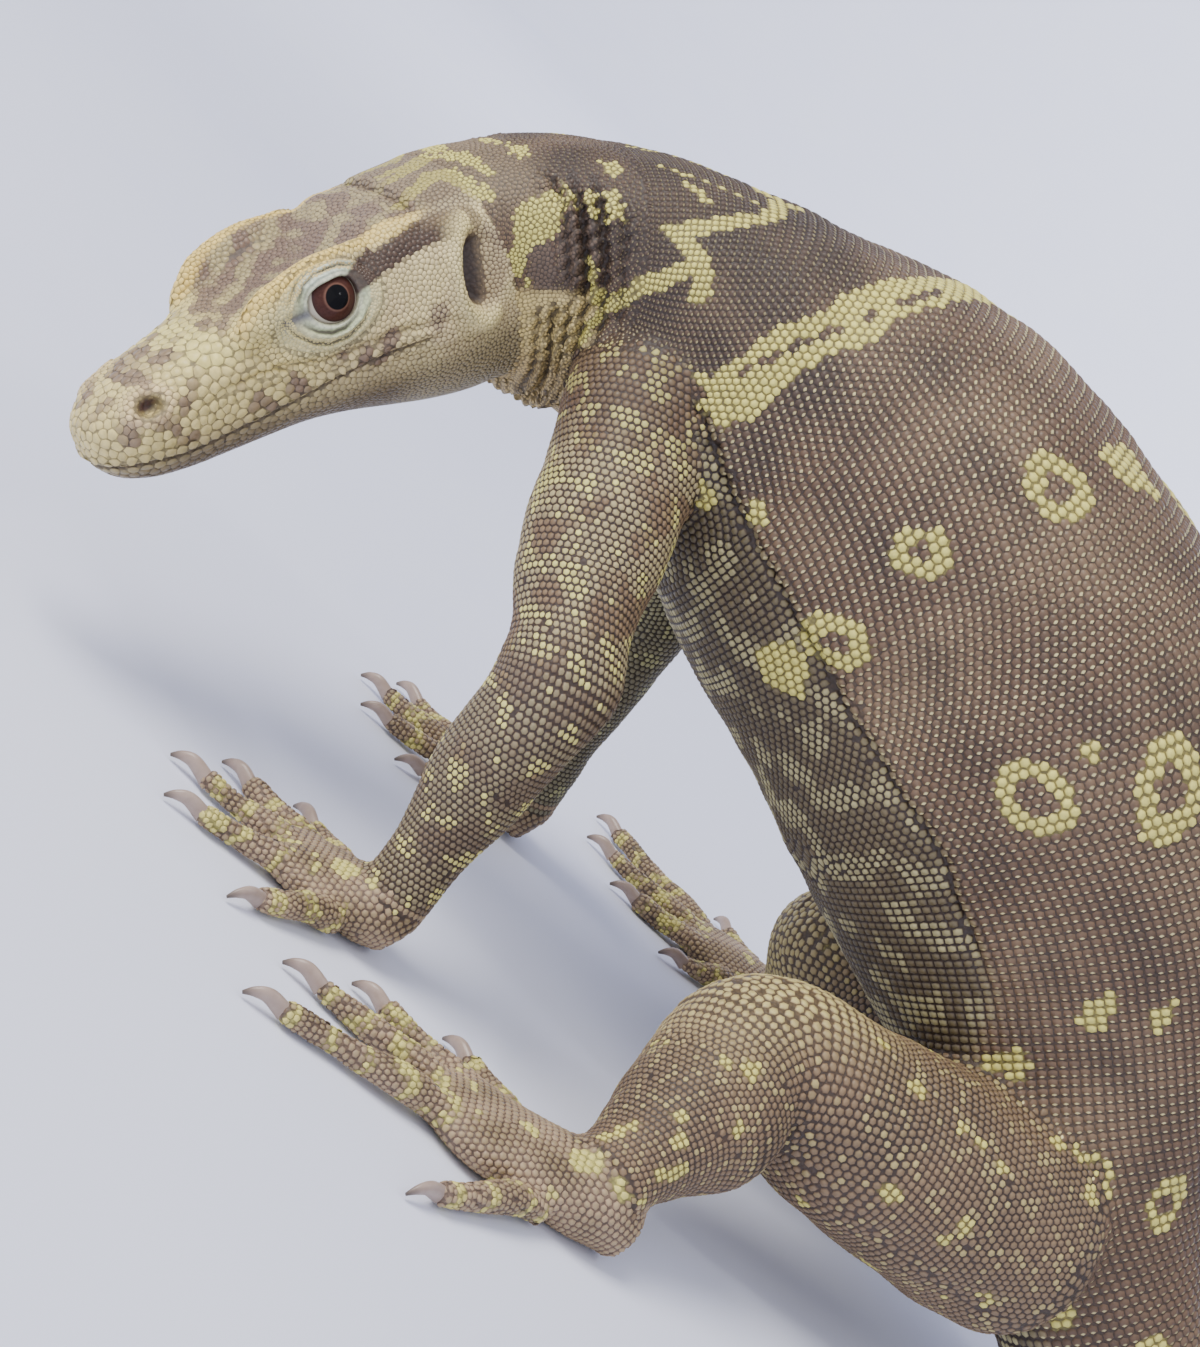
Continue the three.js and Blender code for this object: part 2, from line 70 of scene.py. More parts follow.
TAIL = [
    [295.0, 0, 26.4, 19.0, 18.6, 18.0], [313.0, 0.5, 20.2, 17.4, 17.6, 17.6],
    [334.0, 2.0, 16.6, 15.8, 17.0, 17.2], [360.0, 6.0, 15.5, 14.2, 16.6, 16.2],
    [395.0, 14.0, 14.9, 12.4, 16.2, 15.6], [435.0, 23.0, 13.9, 10.6, 15.4, 14.6],
    [480.0, 29.0, 12.5, 8.8, 14.0, 13.2], [530.0, 29.5, 10.9, 7.2, 12.2, 11.6],
    [580.0, 22.0, 9.2, 5.8, 10.2, 9.8], [630.0, 8.5, 7.3, 4.5, 8.2, 7.8],
    [680.0, -6.0, 5.3, 3.3, 6.0, 5.8], [725.0, -17.0, 3.5, 2.2, 4.0, 4.0],
    [762.0, -23.0, 1.7, 1.0, 1.5, 2.1],
]
FIRST_TRUNK = len(NECK) + 1
FIRST_TAIL = FIRST_TRUNK + len(TRUNK)
HEAD = np.array([
    [0.0, 3.0, 1.6, -4.0, 2.0], [1.2, 5.4, 3.0, -6.8, 2.1], [4.0, 8.0, 4.8, -9.0, 2.2],
    [8.0, 9.6, 6.2, -10.8, 2.3], [14.0, 10.2, 7.4, -12.2, 2.5], [20.0, 10.6, 8.2, -13.0, 2.8],
    [27.0, 12.0, 9.8, -13.6, 3.0], [34.0, 14.0, 11.4, -14.2, 3.2], [41.0, 15.6, 12.2, -16.0, 3.2],
    [48.0, 16.8, 13.2, -18.6, 2.9], [56.0, 17.6, 14.2, -21.6, 2.6], [64.0, 17.9, 14.6, -23.8, 2.4],
    [70.0, 17.6, 15.0, -24.4, 2.2],
])
MOUTH_LINE = np.array([
    [-3.0, -3.8], [2.5, -4.7], [7.0, -5.2], [12.0, -6.4], [18.0, -6.7], [25.0, -6.5],
    [31.0, -5.7], [37.0, -4.5], [43.0, -3.9], [50.0, -4.0], [57.0, -4.6],
])
EYE = np.array([40.7, 9.6, 6.6])
EYE_RADIUS = 5.5
BROW = np.array([38.0, 10.3, 9.4])
BROW_SIZE = np.array([13.5, 4.0, 4.8])
BROW_TILT = 0.24
ARM_RADII = [12.2, 12.0, 11.0, 9.6, 8.6, 7.1, 6.3, 6.2]
LEG_RADII = [18.6, 18.4, 16.4, 13.4, 12.2, 9.4, 7.4, 6.8]
LIMB_SHARES = [0.32, 0.62, 0.42, 0.7, 0.88]
HAND = {
    "palm": 16, "width": 10, "heel": 5,
    "digits": [(7.5, 9, 48, 12), (5.0, 13, 24, 16.5), (0.5, 15, 3, 19), (-4.0, 14, -18, 18),
               (-7.5, 9, -50, 13.5)],
}
FOOT = {
    "palm": 25, "width": 10.5, "heel": 9,
    "digits": [(7.0, 14, 46, 12.5), (5.0, 20.5, 22, 19), (1.5, 24, 5, 25.5),
               (-3.5, 23.5, -13, 31.5), (-7.5, 10, -44, 21)],
}
LIMBS = {
    "arm_left": {"side": -1, "joints": [(126, -20, 88), (149, -46, 49), (155, -51, 8.5)],
                 "heading": 186, "radii": ARM_RADII, "paw": HAND},
    "arm_right": {"side": 1, "joints": [(128, 14, 88), (150, 42, 52), (160, 50, 8.5)],
                  "heading": 172, "radii": ARM_RADII, "paw": HAND},
    "leg_left": {"side": -1, "joints": [(266, -17, 33), (213, -42, 29), (205, -74, 8.5)],
                 "heading": 192, "radii": LEG_RADII, "paw": FOOT},
    "leg_right": {"side": 1, "joints": [(266, 17, 33), (224, 48, 31), (230, 81, 8.5)],
                  "heading": 168, "radii": LEG_RADII, "paw": FOOT},
}
DIGIT_RADIUS = 2.9
CLAW_LENGTH = 5.8
CLAW_RADIUS = 1.4

# The skin lies inside the solids by the depth of the scales
COAT_DEPTH = 0.45
VOXEL = 0.9


def unit(v):
    return v / np.maximum(np.linalg.norm(v, axis=-1, keepdims=True), 1e-12)


def smooth_step(low, high, x):
    t = np.clip((x - low) / (high - low), 0.0, 1.0)
    return t * t * (3.0 - 2.0 * t)


def bell(x, middle, width):
    return np.exp(-((x - middle) / width) ** 2)


def rows_at(rows, u):
    """Smooth values between numbered rows, as in the solids; u may be an array."""
    rows = np.asarray(rows, float)
    u = np.atleast_1d(np.asarray(u, float))
    last = len(rows) - 1
    i = np.clip(np.floor(u).astype(int), 0, last - 1)
    t = (u - i)[:, None]
    before, here = rows[np.maximum(i - 1, 0)], rows[i]
    after, beyond = rows[i + 1], rows[np.minimum(i + 2, last)]
    t2, t3 = t * t, t * t * t
    return (here * (2 * t3 - 3 * t2 + 1) + (after - before) / 2 * (t3 - 2 * t2 + t)
            + after * (3 * t2 - 2 * t3) + (beyond - here) / 2 * (t3 - t2))


def round_power(value, squareness):
    return np.sign(value) * np.abs(value) ** (2.0 / squareness)


# The head's own directions
HEAD_BACK = unit(HEAD_BACK)
HEAD_UP = unit(HEAD_UP)
HEAD_LEFT = unit(np.cross(HEAD_UP, HEAD_BACK))
HEAD_BASIS = np.stack([HEAD_BACK, HEAD_LEFT, HEAD_UP])


def from_head(local):
    return SNOUT_TIP + np.asarray(local, float) @ HEAD_BASIS


def to_head(points):
    return (points - SNOUT_TIP) @ HEAD_BASIS.T


def with_directions(rows, neck_rows):
    """Adds to each row of the spine its direction along and its direction up."""
    rows = np.asarray(rows, float)
    places = rows[:, :3]
    nexts = places[np.minimum(np.arange(len(rows)) + 1, len(rows) - 1)]
    lasts = places[np.maximum(np.arange(len(rows)) - 1, 0)]
    along = unit(nexts - lasts)
    up = np.tile([0.0, 0.0, 1.0], (len(rows), 1))
    for i in range(neck_rows):
        turn = i / neck_rows
        along[i] = unit(HEAD_BACK + (along[neck_rows] - HEAD_BACK) * turn)
        up[i] = unit(HEAD_UP + (np.array([0.0, 0.0, 1.0]) - HEAD_UP) * turn)
    return np.hstack([rows, along, up])


SPINE = with_directions(
    [[*from_head([HEAD_LENGTH + 0.15, 0, 0]), *SKULL_BACK]] + NECK + TRUNK + TAIL, len(NECK) + 1)
SPINE_END = len(SPINE) - 1.0


def spine_frames(u):
    rows = rows_at(SPINE, u)
    along = unit(rows[:, 6:9])
    side = unit(np.cross(rows[:, 9:12], along))
    return rows[:, :3], along, side, np.cross(along, side), rows[:, 3:6]


def spine_surface(u, angle, grow=0.0):
    """Points of the neck, trunk and tail; angle 0 is the midline of the back."""
    centre, _, side, up, sizes = spine_frames(u)
    squareness = 2.2 - 0.2 * smooth_step(FIRST_TAIL - 1, FIRST_TAIL + 1, np.asarray(u))
    height = np.where(np.cos(angle) > 0, sizes[:, 1], sizes[:, 2]) + grow
    across = (sizes[:, 0] + grow) * round_power(np.sin(angle), squareness)
    rise = height * round_power(np.cos(angle), squareness)
    points = centre + side * across[:, None] + up * rise[:, None]
    points[:, 2] = np.maximum(points[:, 2], -grow)
    return points


def head_index(x):
    return np.interp(x, HEAD[:, 0], np.arange(len(HEAD)))


def head_surface(x, angle, grow=0.0):
    """Points of the head in its own directions; angle 0 is the midline of the crown."""
    rows = rows_at(HEAD, head_index(x))
    above = np.cos(angle) > 0
    squareness = np.where(above, rows[:, 4], 2.2)
    across = (rows[:, 1] + grow) * round_power(np.sin(angle), squareness)
    height = np.where(above, rows[:, 2] + grow, -rows[:, 3] + grow)
    return np.stack([np.asarray(x, float) * np.ones_like(angle), across,
                     height * round_power(np.cos(angle), squareness)], axis=1)


def tube_frames(rows, u):
    """Middle, directions and half sizes along a row of places with two half sizes each."""
    step, last = 0.02, len(rows) - 1.0
    ahead = rows_at(rows, np.minimum(u + step, last))[:, :3]
    behind = rows_at(rows, np.maximum(u - step, 0.0))[:, :3]
    values = rows_at(rows, u)
    return values[:, :3], unit(ahead - behind), values[:, 3:5]


def tube_surface(rows, up_hint, u, angle, grow=0.0):
    centre, along, sizes = tube_frames(rows, u)
    side = unit(np.cross(np.asarray(up_hint, float), along))
    up = np.cross(along, side)
    points = centre + side * ((sizes[:, 0] + grow) * np.sin(angle))[:, None]
    points += up * ((sizes[:, 1] + grow) * np.cos(angle))[:, None]
    points[:, 2] = np.maximum(points[:, 2], -grow)
    return points


def limb_rows(limb):
    root, middle, end = (np.array(p, float) for p in limb["joints"])
    a, b, c, d, e = LIMB_SHARES
    places = [root, root + (middle - root) * a, root + (middle - root) * b, middle,
              middle + (end - middle) * c, middle + (end - middle) * d,
              middle + (end - middle) * e, end]
    return np.array([[*p, r, r] for p, r in zip(places, limb["radii"])])


def paw_rows(limb):
    """Rows of the palm, of each digit, and of each claw."""
    plan, heading = limb["paw"], math.radians(limb["heading"])
    forward = np.array([math.cos(heading), math.sin(heading), 0.0])
    inward = np.array([0.0, -limb["side"], 0.0])
    inward = unit(inward - forward * (inward @ forward))
    wrist = np.array(limb["joints"][2], float)

    def at(along, across, z):
        p = wrist + forward * along + inward * across
        return [p[0], p[1], z]

    palm, width = plan["palm"], plan["width"]
    rows = {"palm": np.array([
        [*at(-plan["heel"], 0, 4.6), 4.6, 4.6],
        [*at(0, 0, 5.8), 7.6, 6.6],
        [*at(palm * 0.45, 0, 4.4), width * 0.92, 5.2],
        [*at(palm * 0.85, 0, 3.3), width, 4.1],
        [*at(palm + 2.5, 0, 2.7), width * 0.7, 3.0]])}
    for number, (across, start, angle, length) in enumerate(plan["digits"], 1):
        turn, full, r = math.radians(angle), length + 4, DIGIT_RADIUS
        way = forward * math.cos(turn) + inward * math.sin(turn)
        root = np.array(at(start - 4, across, 0.0))

        def along(d, z, half, flat=1.0):
            p = root + way * d
            return [p[0], p[1], z, half * flat, half]

        rows[f"digit_{number}"] = np.array([
            along(0, 2.7, r), along(full * 0.35, 3.5, r), along(full * 0.68, 2.5, r * 0.86),
            along(full, 2.0, r * 0.78)])
        rows[f"claw_{number}"] = np.array([
            along(full + 0.6, 2.2, CLAW_RADIUS, 0.72),
            along(full + CLAW_LENGTH * 0.4, 2.6, CLAW_RADIUS * 0.86, 0.72),
            along(full + CLAW_LENGTH * 0.75, 2.0, CLAW_RADIUS * 0.6, 0.72),
            along(full + CLAW_LENGTH, 0.8, 0.28, 0.72)])
    return rows


def paw_flesh(limb):
    """Rows of the palm and the digits, without the claws."""
    return {name: rows for name, rows in paw_rows(limb).items() if not name.startswith("claw")}


LIMB_UP = (-1.0, 0.0, 0.15)
FLOOR_UP = (0.0, 0.0, 1.0)
SPINE_SIDES = 96
LIMB_SIDES = 40
DIGIT_SIDES = 28


def closed_grid(points, rings, sides):
    """Points and faces of a closed tube, with a fan at each end."""
    faces = []
    for r in range(rings - 1):
        for s in range(sides):
            a, b = r * sides + s, r * sides + (s + 1) % sides
            faces.append((a, a + sides, b + sides, b))
    ends = np.array([points[:sides].mean(axis=0), points[-sides:].mean(axis=0)])
    first, last = len(points), len(points) + 1
    base = (rings - 1) * sides
    faces += [(first, s, (s + 1) % sides) for s in range(sides)]
    faces += [(last, base + (s + 1) % sides, base + s) for s in range(sides)]
    return np.vstack([points, ends]), faces


def grid(surface, u_values, sides):
    u = np.repeat(u_values, sides)
    angle = np.tile(np.arange(sides) * 2 * math.pi / sides, len(u_values))
    return closed_grid(surface(u, angle), len(u_values), sides)


def ball(centre, sizes, tilt=0.0, rings=40, sides=64):
    """An ellipsoid in the head's directions, tilted in the plane of back and up."""
    lat = (np.arange(rings) + 0.5) / rings * math.pi
    lon = np.arange(sides) * 2 * math.pi / sides
    lat, lon = np.repeat(lat, sides), np.tile(lon, rings)
    p = np.stack([np.cos(lat), np.sin(lat) * np.cos(lon), np.sin(lat) * np.sin(lon)], axis=1)
    p = p * np.asarray(sizes)
    c, s = math.cos(tilt), math.sin(tilt)
    p = np.stack([p[:, 0] * c - p[:, 2] * s, p[:, 1], p[:, 0] * s + p[:, 2] * c], axis=1)
    return closed_grid(from_head(p + centre), rings, sides)


def new_mesh(name, points, faces):
    mesh = bpy.data.meshes.new(name)
    mesh.from_pydata((np.asarray(points) + CENTRE_SHIFT) * MM, [], faces)
    mesh.update()
    return mesh


def add_piece(name, mesh, nodes=()):
    piece = bpy.data.objects.new(name, mesh)
    bpy.context.scene.collection.objects.link(piece)
    mesh.shade_smooth()
    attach(piece, "root")
    if nodes:
        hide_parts(*nodes)
    return piece


# The skin: one closed surface round all the forms


def limb_root_cap(rows):
    """Rounds off the first end of a limb inside the body."""
    way = unit(rows[0, :3] - rows[1, :3])
    radius = rows[0, 3]
    caps = [[*(rows[0, :3] + way * radius * d), radius * r, radius * r]
            for d, r in ((0.62, 0.3), (0.55, 0.5), (0.3, 0.84))]
    return np.vstack([caps, rows])


def rough_forms():
    """Closed forms of every length of the body, a coat's depth inside the solids."""
    inset = -COAT_DEPTH
    forms = []
    head_x = np.concatenate([[0.3, 0.8, 1.6, 2.8], np.arange(4.0, HEAD_LENGTH + 6.0, 1.2)])
    forms.append(grid(lambda x, a: from_head(head_surface(x, a, inset)), head_x, SPINE_SIDES))
    for side in (-1, 1):
        forms.append(ball(BROW * np.array([1, side, 1]), BROW_SIZE + inset, BROW_TILT))
    forms.append(grid(lambda u, a: spine_surface(u, a, inset),
                      np.arange(0.0, SPINE_END + 0.01, 0.1), SPINE_SIDES))
    for limb in LIMBS.values():
        rows = limb_root_cap(limb_rows(limb))
        forms.append(grid(lambda u, a: tube_surface(rows, LIMB_UP, u, a, inset),
                          np.arange(0, len(rows) - 0.99, 0.125), LIMB_SIDES))
        for parts in paw_flesh(limb).values():
            forms.append(grid(lambda u, a: tube_surface(parts, FLOOR_UP, u, a, inset),
                              np.arange(0, len(parts) - 0.99, 0.1), DIGIT_SIDES))
    return forms


def one_skin(forms, voxel):
    """Joins all the forms into one closed skin of small even faces."""
    points, faces, start = [], [], 0
    for form_points, form_faces in forms:
        points.append(form_points)
        faces += [tuple(i + start for i in face) for face in form_faces]
        start += len(form_points)
    rough = bpy.data.objects.new("rough", new_mesh("rough", np.vstack(points), faces))
    bpy.context.scene.collection.objects.link(rough)
    modifier = rough.modifiers.new("one_skin", "REMESH")
    modifier.mode = "VOXEL"
    modifier.voxel_size = voxel * MM
    shown = rough.evaluated_get(bpy.context.evaluated_depsgraph_get())
    mesh = bpy.data.meshes.new_from_object(shown)
    bpy.data.objects.remove(rough)
    return mesh


def mesh_points(mesh):
    values = np.empty(len(mesh.vertices) * 3)
    mesh.vertices.foreach_get("co", values)
    return values.reshape(-1, 3) / MM - CENTRE_SHIFT


def mesh_normals(mesh):
    values = np.empty(len(mesh.vertices) * 3)
    mesh.vertices.foreach_get("normal", values)
    return values.reshape(-1, 3)


def set_points(mesh, points):
    mesh.vertices.foreach_set("co", ((points + CENTRE_SHIFT) * MM).ravel())
    mesh.update()


def smoothed(points, edges, weight, rounds):
    """Moves each point towards the middle of its neighbours, by its own weight."""
    a, b = edges[:, 0], edges[:, 1]
    count = np.bincount(a, minlength=len(points)) + np.bincount(b, minlength=len(points))
    for _ in range(rounds):
        middle = np.stack([
            np.bincount(a, points[b, k], len(points)) + np.bincount(b, points[a, k], len(points))
            for k in range(3)], axis=1) / np.maximum(count, 1)[:, None]
        points = points + (middle - points) * weight[:, None]
    return points


def mesh_edges(mesh):
    edges = np.empty(len(mesh.edges) * 2, dtype=np.int32)
    mesh.edges.foreach_get("vertices", edges)
    return edges.reshape(-1, 2)


def soften(mesh):
    """Takes the steps out of the skin, and rounds the creases where the limbs join it."""
    points = mesh_points(mesh)
    edges = mesh_edges(mesh)
    points = smoothed(points, edges, np.full(len(points), 0.5), 4)
    weight = np.zeros(len(points))
    for limb in LIMBS.values():
        root, middle = (np.array(p, float) for p in limb["joints"][:2])
        reach = limb["radii"][0] * 1.9
        away = np.linalg.norm(points - (root + (middle - root) * 0.15), axis=1)
        weight = np.maximum(weight, 0.6 * (1 - smooth_step(0.5 * reach, reach, away)))
    away = np.linalg.norm(points - from_head([HEAD_LENGTH, 0, 0]), axis=1)
    weight = np.maximum(weight, 0.5 * (1 - smooth_step(18, 27, away)))
    points = smoothed(points, edges, weight, 26)
    set_points(mesh, points)


def refine_head(mesh):
    """Halves the faces of head and neck, so that lips and folds can be carved."""
    work = bmesh.new()
    work.from_mesh(mesh)
    work.verts.ensure_lookup_table()
    local = to_head(mesh_points(mesh))
    near = (local[:, 0] < HEAD_LENGTH + 24) & (np.abs(local[:, 1]) < 30) & (np.abs(local[:, 2]) < 32)
    edges = [e for e in work.edges if near[e.verts[0].index] and near[e.verts[1].index]]
    bmesh.ops.subdivide_edges(work, edges=edges, cuts=1, use_grid_fill=True)
    work.to_mesh(mesh)
    work.free()
    points = mesh_points(mesh)
    local = to_head(points)
    near = (local[:, 0] < HEAD_LENGTH + 25) & (np.abs(local[:, 1]) < 31) & (np.abs(local[:, 2]) < 33)
    set_points(mesh, smoothed(points, mesh_edges(mesh), near * 0.5, 3))


# Where each place lies on the body: how far along a length of it, and how far round


def ring_distances(rings):
    """Distances round each ring from its first point, the shorter way, left side negative."""
    steps = np.linalg.norm(np.roll(rings, -1, axis=1) - rings, axis=2)
    total = steps.sum(axis=1, keepdims=True)
    round_ = np.cumsum(steps, axis=1) - steps
    return np.where(round_ > total / 2, round_ - total, round_), total[:, 0] / 2


def length_table(middle_of, last, step=0.01):
    u = np.arange(0, last + step / 2, step)
    steps = np.linalg.norm(np.diff(middle_of(u), axis=0), axis=1)
    return u, np.concatenate([[0], np.cumsum(steps)])


class Sheet:
    """The surface of one length of the body, by distance along it and round it."""

    def __init__(self, name, surface, middle_of, last, scale, sides=96):
        self.name, self.surface, self.sides, self.scale = name, surface, sides, scale
        self.u, self.s = length_table(middle_of, last)
        self.length = self.s[-1]

    def rings(self, s):
        u = np.interp(s, self.s, self.u)
        angle = np.tile(np.arange(self.sides) * 2 * math.pi / self.sides, len(s))
        points = self.surface(np.repeat(u, self.sides), angle)
        return points.reshape(len(s), self.sides, 3)


def along_and_around(rings):
    along = unit(np.gradient(rings, axis=0))
    around = unit(np.roll(rings, -1, axis=1) - np.roll(rings, 1, axis=1))
    return along, around


def tube_sheet(name, rows, up, scale, sides):
    return Sheet(name, lambda u, a: tube_surface(rows, up, u, a),
                 lambda u: rows_at(rows, u)[:, :3], len(rows) - 1.0, scale, sides)


def body_sheets():
    sheets = [Sheet("head", lambda x, a: from_head(head_surface(x, a)),
                    lambda x: from_head(np.stack([x, 0 * x, 0 * x], axis=1)), HEAD_LENGTH, 1.2),
              Sheet("spine", spine_surface, lambda u: spine_frames(u)[0], SPINE_END, 1.7)]
    for limb_name, limb in LIMBS.items():
        sheets.append(tube_sheet(limb_name, limb_rows(limb), LIMB_UP, 1.5, 64))
        for name, rows in paw_flesh(limb).items():
            scale = 1.25 if name == "palm" else 1.15
            sheets.append(tube_sheet(f"{limb_name}_{name}", rows, FLOOR_UP, scale, 48))
    return sheets


def search_tree(points):
    """A tree that finds the numbers of the points nearest to a place."""
    tree = KDTree(len(points))
    for number, point in enumerate(points):
        tree.insert(point, number)
    tree.balance()
    return tree


class BodyMap:
    """Finds the part of the body, and the place on it, nearest to any point."""

    def __init__(self, sheets):
        samples = [self.sampled(number, sheet) for number, sheet in enumerate(sheets)]
        self.points, self.along, self.around, self.s, self.t, self.half, self.part = (
            np.concatenate(values) for values in zip(*samples))
        self.tree = search_tree(self.points)

    @staticmethod
    def sampled(number, sheet):
        """Places on one length of the body, with their directions and distances."""
        gap = 2.4 if sheet.length > 60 else 1.2
        s = np.arange(0, sheet.length + gap / 2, gap)
        rings = sheet.rings(s)
        t, half = ring_distances(rings)
        t = t[:, ::2]
        vectors = [v[:, ::2].reshape(-1, 3) for v in (rings, *along_and_around(rings))]
        distances = [np.broadcast_to(v, t.shape).ravel() for v in (s[:, None], t, half[:, None])]
        return [*vectors, *distances, np.full(t.size, number)]

    def find(self, points):
        near = np.array([self.tree.find(p)[1] for p in points])
        off = points - self.points[near]
        s = self.s[near] + (off * self.along[near]).sum(axis=1)
        t = self.t[near] + (off * self.around[near]).sum(axis=1)
        return {"points": points, "part": self.part[near], "s": s, "t": t,
                "half": self.half[near], "head": to_head(points)}


# Relief carved into the skin, in millimetres outward

# Scales and skin under the hands, the feet and the tail end this far above the floor
FLOOR_GAP = 0.01


def distance_to_line(points, line):
    """Distance to a bent line, and how far along it the nearest place is, from 0 to 1."""
    line = np.asarray(line, float)
    best = np.full(len(points), 1e9)
    place = np.zeros(len(points))
    for i in range(len(line) - 1):
        way = line[i + 1] - line[i]
        k = np.clip(((points - line[i]) @ way) / (way @ way), 0, 1)
        away = np.linalg.norm(points - line[i] - k[:, None] * way, axis=1)
        nearer = away < best
        best = np.where(nearer, away, best)
        place = np.where(nearer, (i + k) / (len(line) - 1), place)
    return best, place


def groove(away, width, roll, apart):
    """A groove of depth 1 with a roll beside it, by the distance from its line."""
    return roll * bell(away, apart * width, width) - bell(away, 0, width)


BROW_RIDGE = [(24.2, 9.5, 5.9), (28.4, 9.7, 10.2), (33.2, 11.1, 12.8), (38.5, 11.4, 14.3),
              (44.4, 11.6, 14.6), (50.3, 10.9, 13.0), (56.4, 11.3, 11.9), (62.8, 12.3, 11)]
EAR_PLACE = (65.4, 1.4)
EAR_SIZE = (4.4, 6.5)
EAR_TILT = 0.24
NOSTRIL_PLACE = (9.3, 3.3)
NOSTRIL_SIZE = (2.2, 1.3)
NOSTRIL_TILT = -0.15
# Creases on the side of the head: places back and up, depth, width
HEAD_CREASES = [
    ([(17.6, 0.4), (21.9, 1.1), (26.7, 1.0), (31.5, 0.7), (36.3, -0.7), (41.4, -0.9), (48.3, -1.0),
      (55, -2.4), (59, -3.4)], 0.5, 0.55),
    ([(27, 4.6), (29.2, 1.0), (33, -1.6), (38.6, -2.6), (43.4, -2.2), (47.6, 0)], 0.3, 0.5),
    ([(39, -5.3), (43.9, -5.4), (50.8, -6.3), (57.9, -7.4), (65.7, -8.6)], 0.3, 0.6),
]
# Folds of the neck: places along and round from the middle of the back, depth, width
NECK_FOLDS = [
    ([(14.9, 10), (13.6, 22.6), (13.5, 31.5), (12.9, 40), (13.2, 50), (14, 58)], 1.5, 0.85),
    ([(11.2, 8), (12, 15.8), (10.9, 22), (10.2, 30)], 0.7, 0.6),
    ([(4.2, 33.9), (3.4, 40.1), (4.4, 48.3), (5, 55)], 1.1, 0.85),
    ([(7.8, 32.8), (6.4, 38), (8.0, 49.5), (8.8, 56)], 1.1, 0.85),
    ([(10.8, 31.7), (9.8, 39.4), (11.1, 48.6), (11.5, 56)], 1.1, 0.8),
    ([(17.8, 10), (17.0, 24), (17.6, 36), (16.8, 50)], 1.0, 0.8),
    ([(21.2, 14), (20.6, 26), (21.8, 36)], 0.6, 0.65),
]
SIDE_FOLD = [(38, 38), (46, 46), (60, 59.6), (74, 70), (88, 77), (106, 81.5), (126, 81),
             (150, 75), (172, 64)]


# Swellings and hollows on the side of the head: height, then place and half sizes, back and up
HEAD_SWELLINGS = [(1.1, (55, -6), (8, 6.5)), (-0.6, (52, 5), (5, 4)), (-0.6, (28, 4.5), (4, 2.5))]
NOSE_SWELLING = ((8.6, 3.6), (3.6, 3.2))


def mouth_height(x):
    return np.interp(x, MOUTH_LINE[:, 0], MOUTH_LINE[:, 1])


def oval(x, z, place, size, tilt):
    """How far out from the middle of a tilted oval, 1 at its edge."""
    dx, dz = x - place[0], z - place[1]
    c, s = math.cos(tilt), math.sin(tilt)
    return np.hypot((dx * c - dz * s) / size[0], (dx * s + dz * c) / size[1])


def ear_oval(q):
    return oval(q[:, 0], q[:, 2], EAR_PLACE, EAR_SIZE, EAR_TILT)


def nostril_oval(q):
    return oval(q[:, 0], q[:, 2], NOSTRIL_PLACE, NOSTRIL_SIZE, NOSTRIL_TILT)


def folded(local):
    """Head places with the right side laid over the left."""
    return local * np.array([1, 0, 1]) + np.abs(local) * np.array([0, 1, 0])


# The eye: middle of its opening, direction of the lids' plane, and outlines in that plane
LID_AXIS = unit(np.array([-0.06, 1.0, 0.2]))
LID_BACK = unit(np.array([1.0, 0.0, 0.0]) - LID_AXIS * LID_AXIS[0])
LID_UP = np.cross(LID_BACK, LID_AXIS)
LID_MIDDLE = EYE + LID_AXIS * EYE_RADIUS
LID_OPENING = (3.95, 2.95, 3.2)
LID_OUTER_PLACE = (-1.2, -0.5)
LID_OUTER = (9.4, 6.7)
# Creases of the lids: places back and up in the plane, depth, width
LID_CREASES = [
    ([(-5.7, -1.7), (-4.1, -3.3), (-2.2, -4.3), (0, -4.4), (2.6, -3.5), (4.7, -1.4)], 0.42, 0.3),
    ([(-8.7, 0.4), (-7.3, -2.4), (-5.2, -4.7), (-2.9, -5.8), (0.2, -5.9), (3.3, -4.8), (5.6, -2.6)],
     0.42, 0.32),
    ([(-5.2, 2.2), (-4, 4.1), (-1.5, 4.9), (0.9, 4.8), (2.8, 4.5), (5.3, 3.2)], 0.45, 0.28),
    ([(-7.2, 2.2), (-5, 4.5), (-2.5, 5.4), (0.3, 5.7), (3.7, 5.3), (6.4, 4.0)], 0.35, 0.3),
]
LID_PIT = [(-4.7, -0.3), (-7, -0.1), (-9.6, 0.0)]


def in_lid_plane(q):
    """Places back, up and outward from the middle of the eye's opening."""
    off = q - LID_MIDDLE
    return off @ LID_BACK, off @ LID_UP, off @ LID_AXIS


def lid_share(q):
    """How far out within the lids a place lies, 1 at their outer edge."""
    a, b, _ = in_lid_plane(q)
    share = np.hypot((a - LID_OUTER_PLACE[0]) / LID_OUTER[0], (b - LID_OUTER_PLACE[1]) / LID_OUTER[1])
    return np.where(q[:, 1] > 6, share, 9.0)


def ear_depth(q):
    """Deep just behind the front rim, rising towards the back."""
    rim = ear_oval(q)
    dx, dz = q[:, 0] - EAR_PLACE[0], q[:, 2] - EAR_PLACE[1]
    across = (dx - dz * EAR_TILT) / EAR_SIZE[0]
    return 2.8 * (1 - smooth_step(0.72, 1.05, rim)) * (1 - smooth_step(-0.6, 0.9, across))


def swelling(x, z, place, size):
    return np.exp(-((x - place[0]) / size[0]) ** 2 - ((z - place[1]) / size[1]) ** 2)


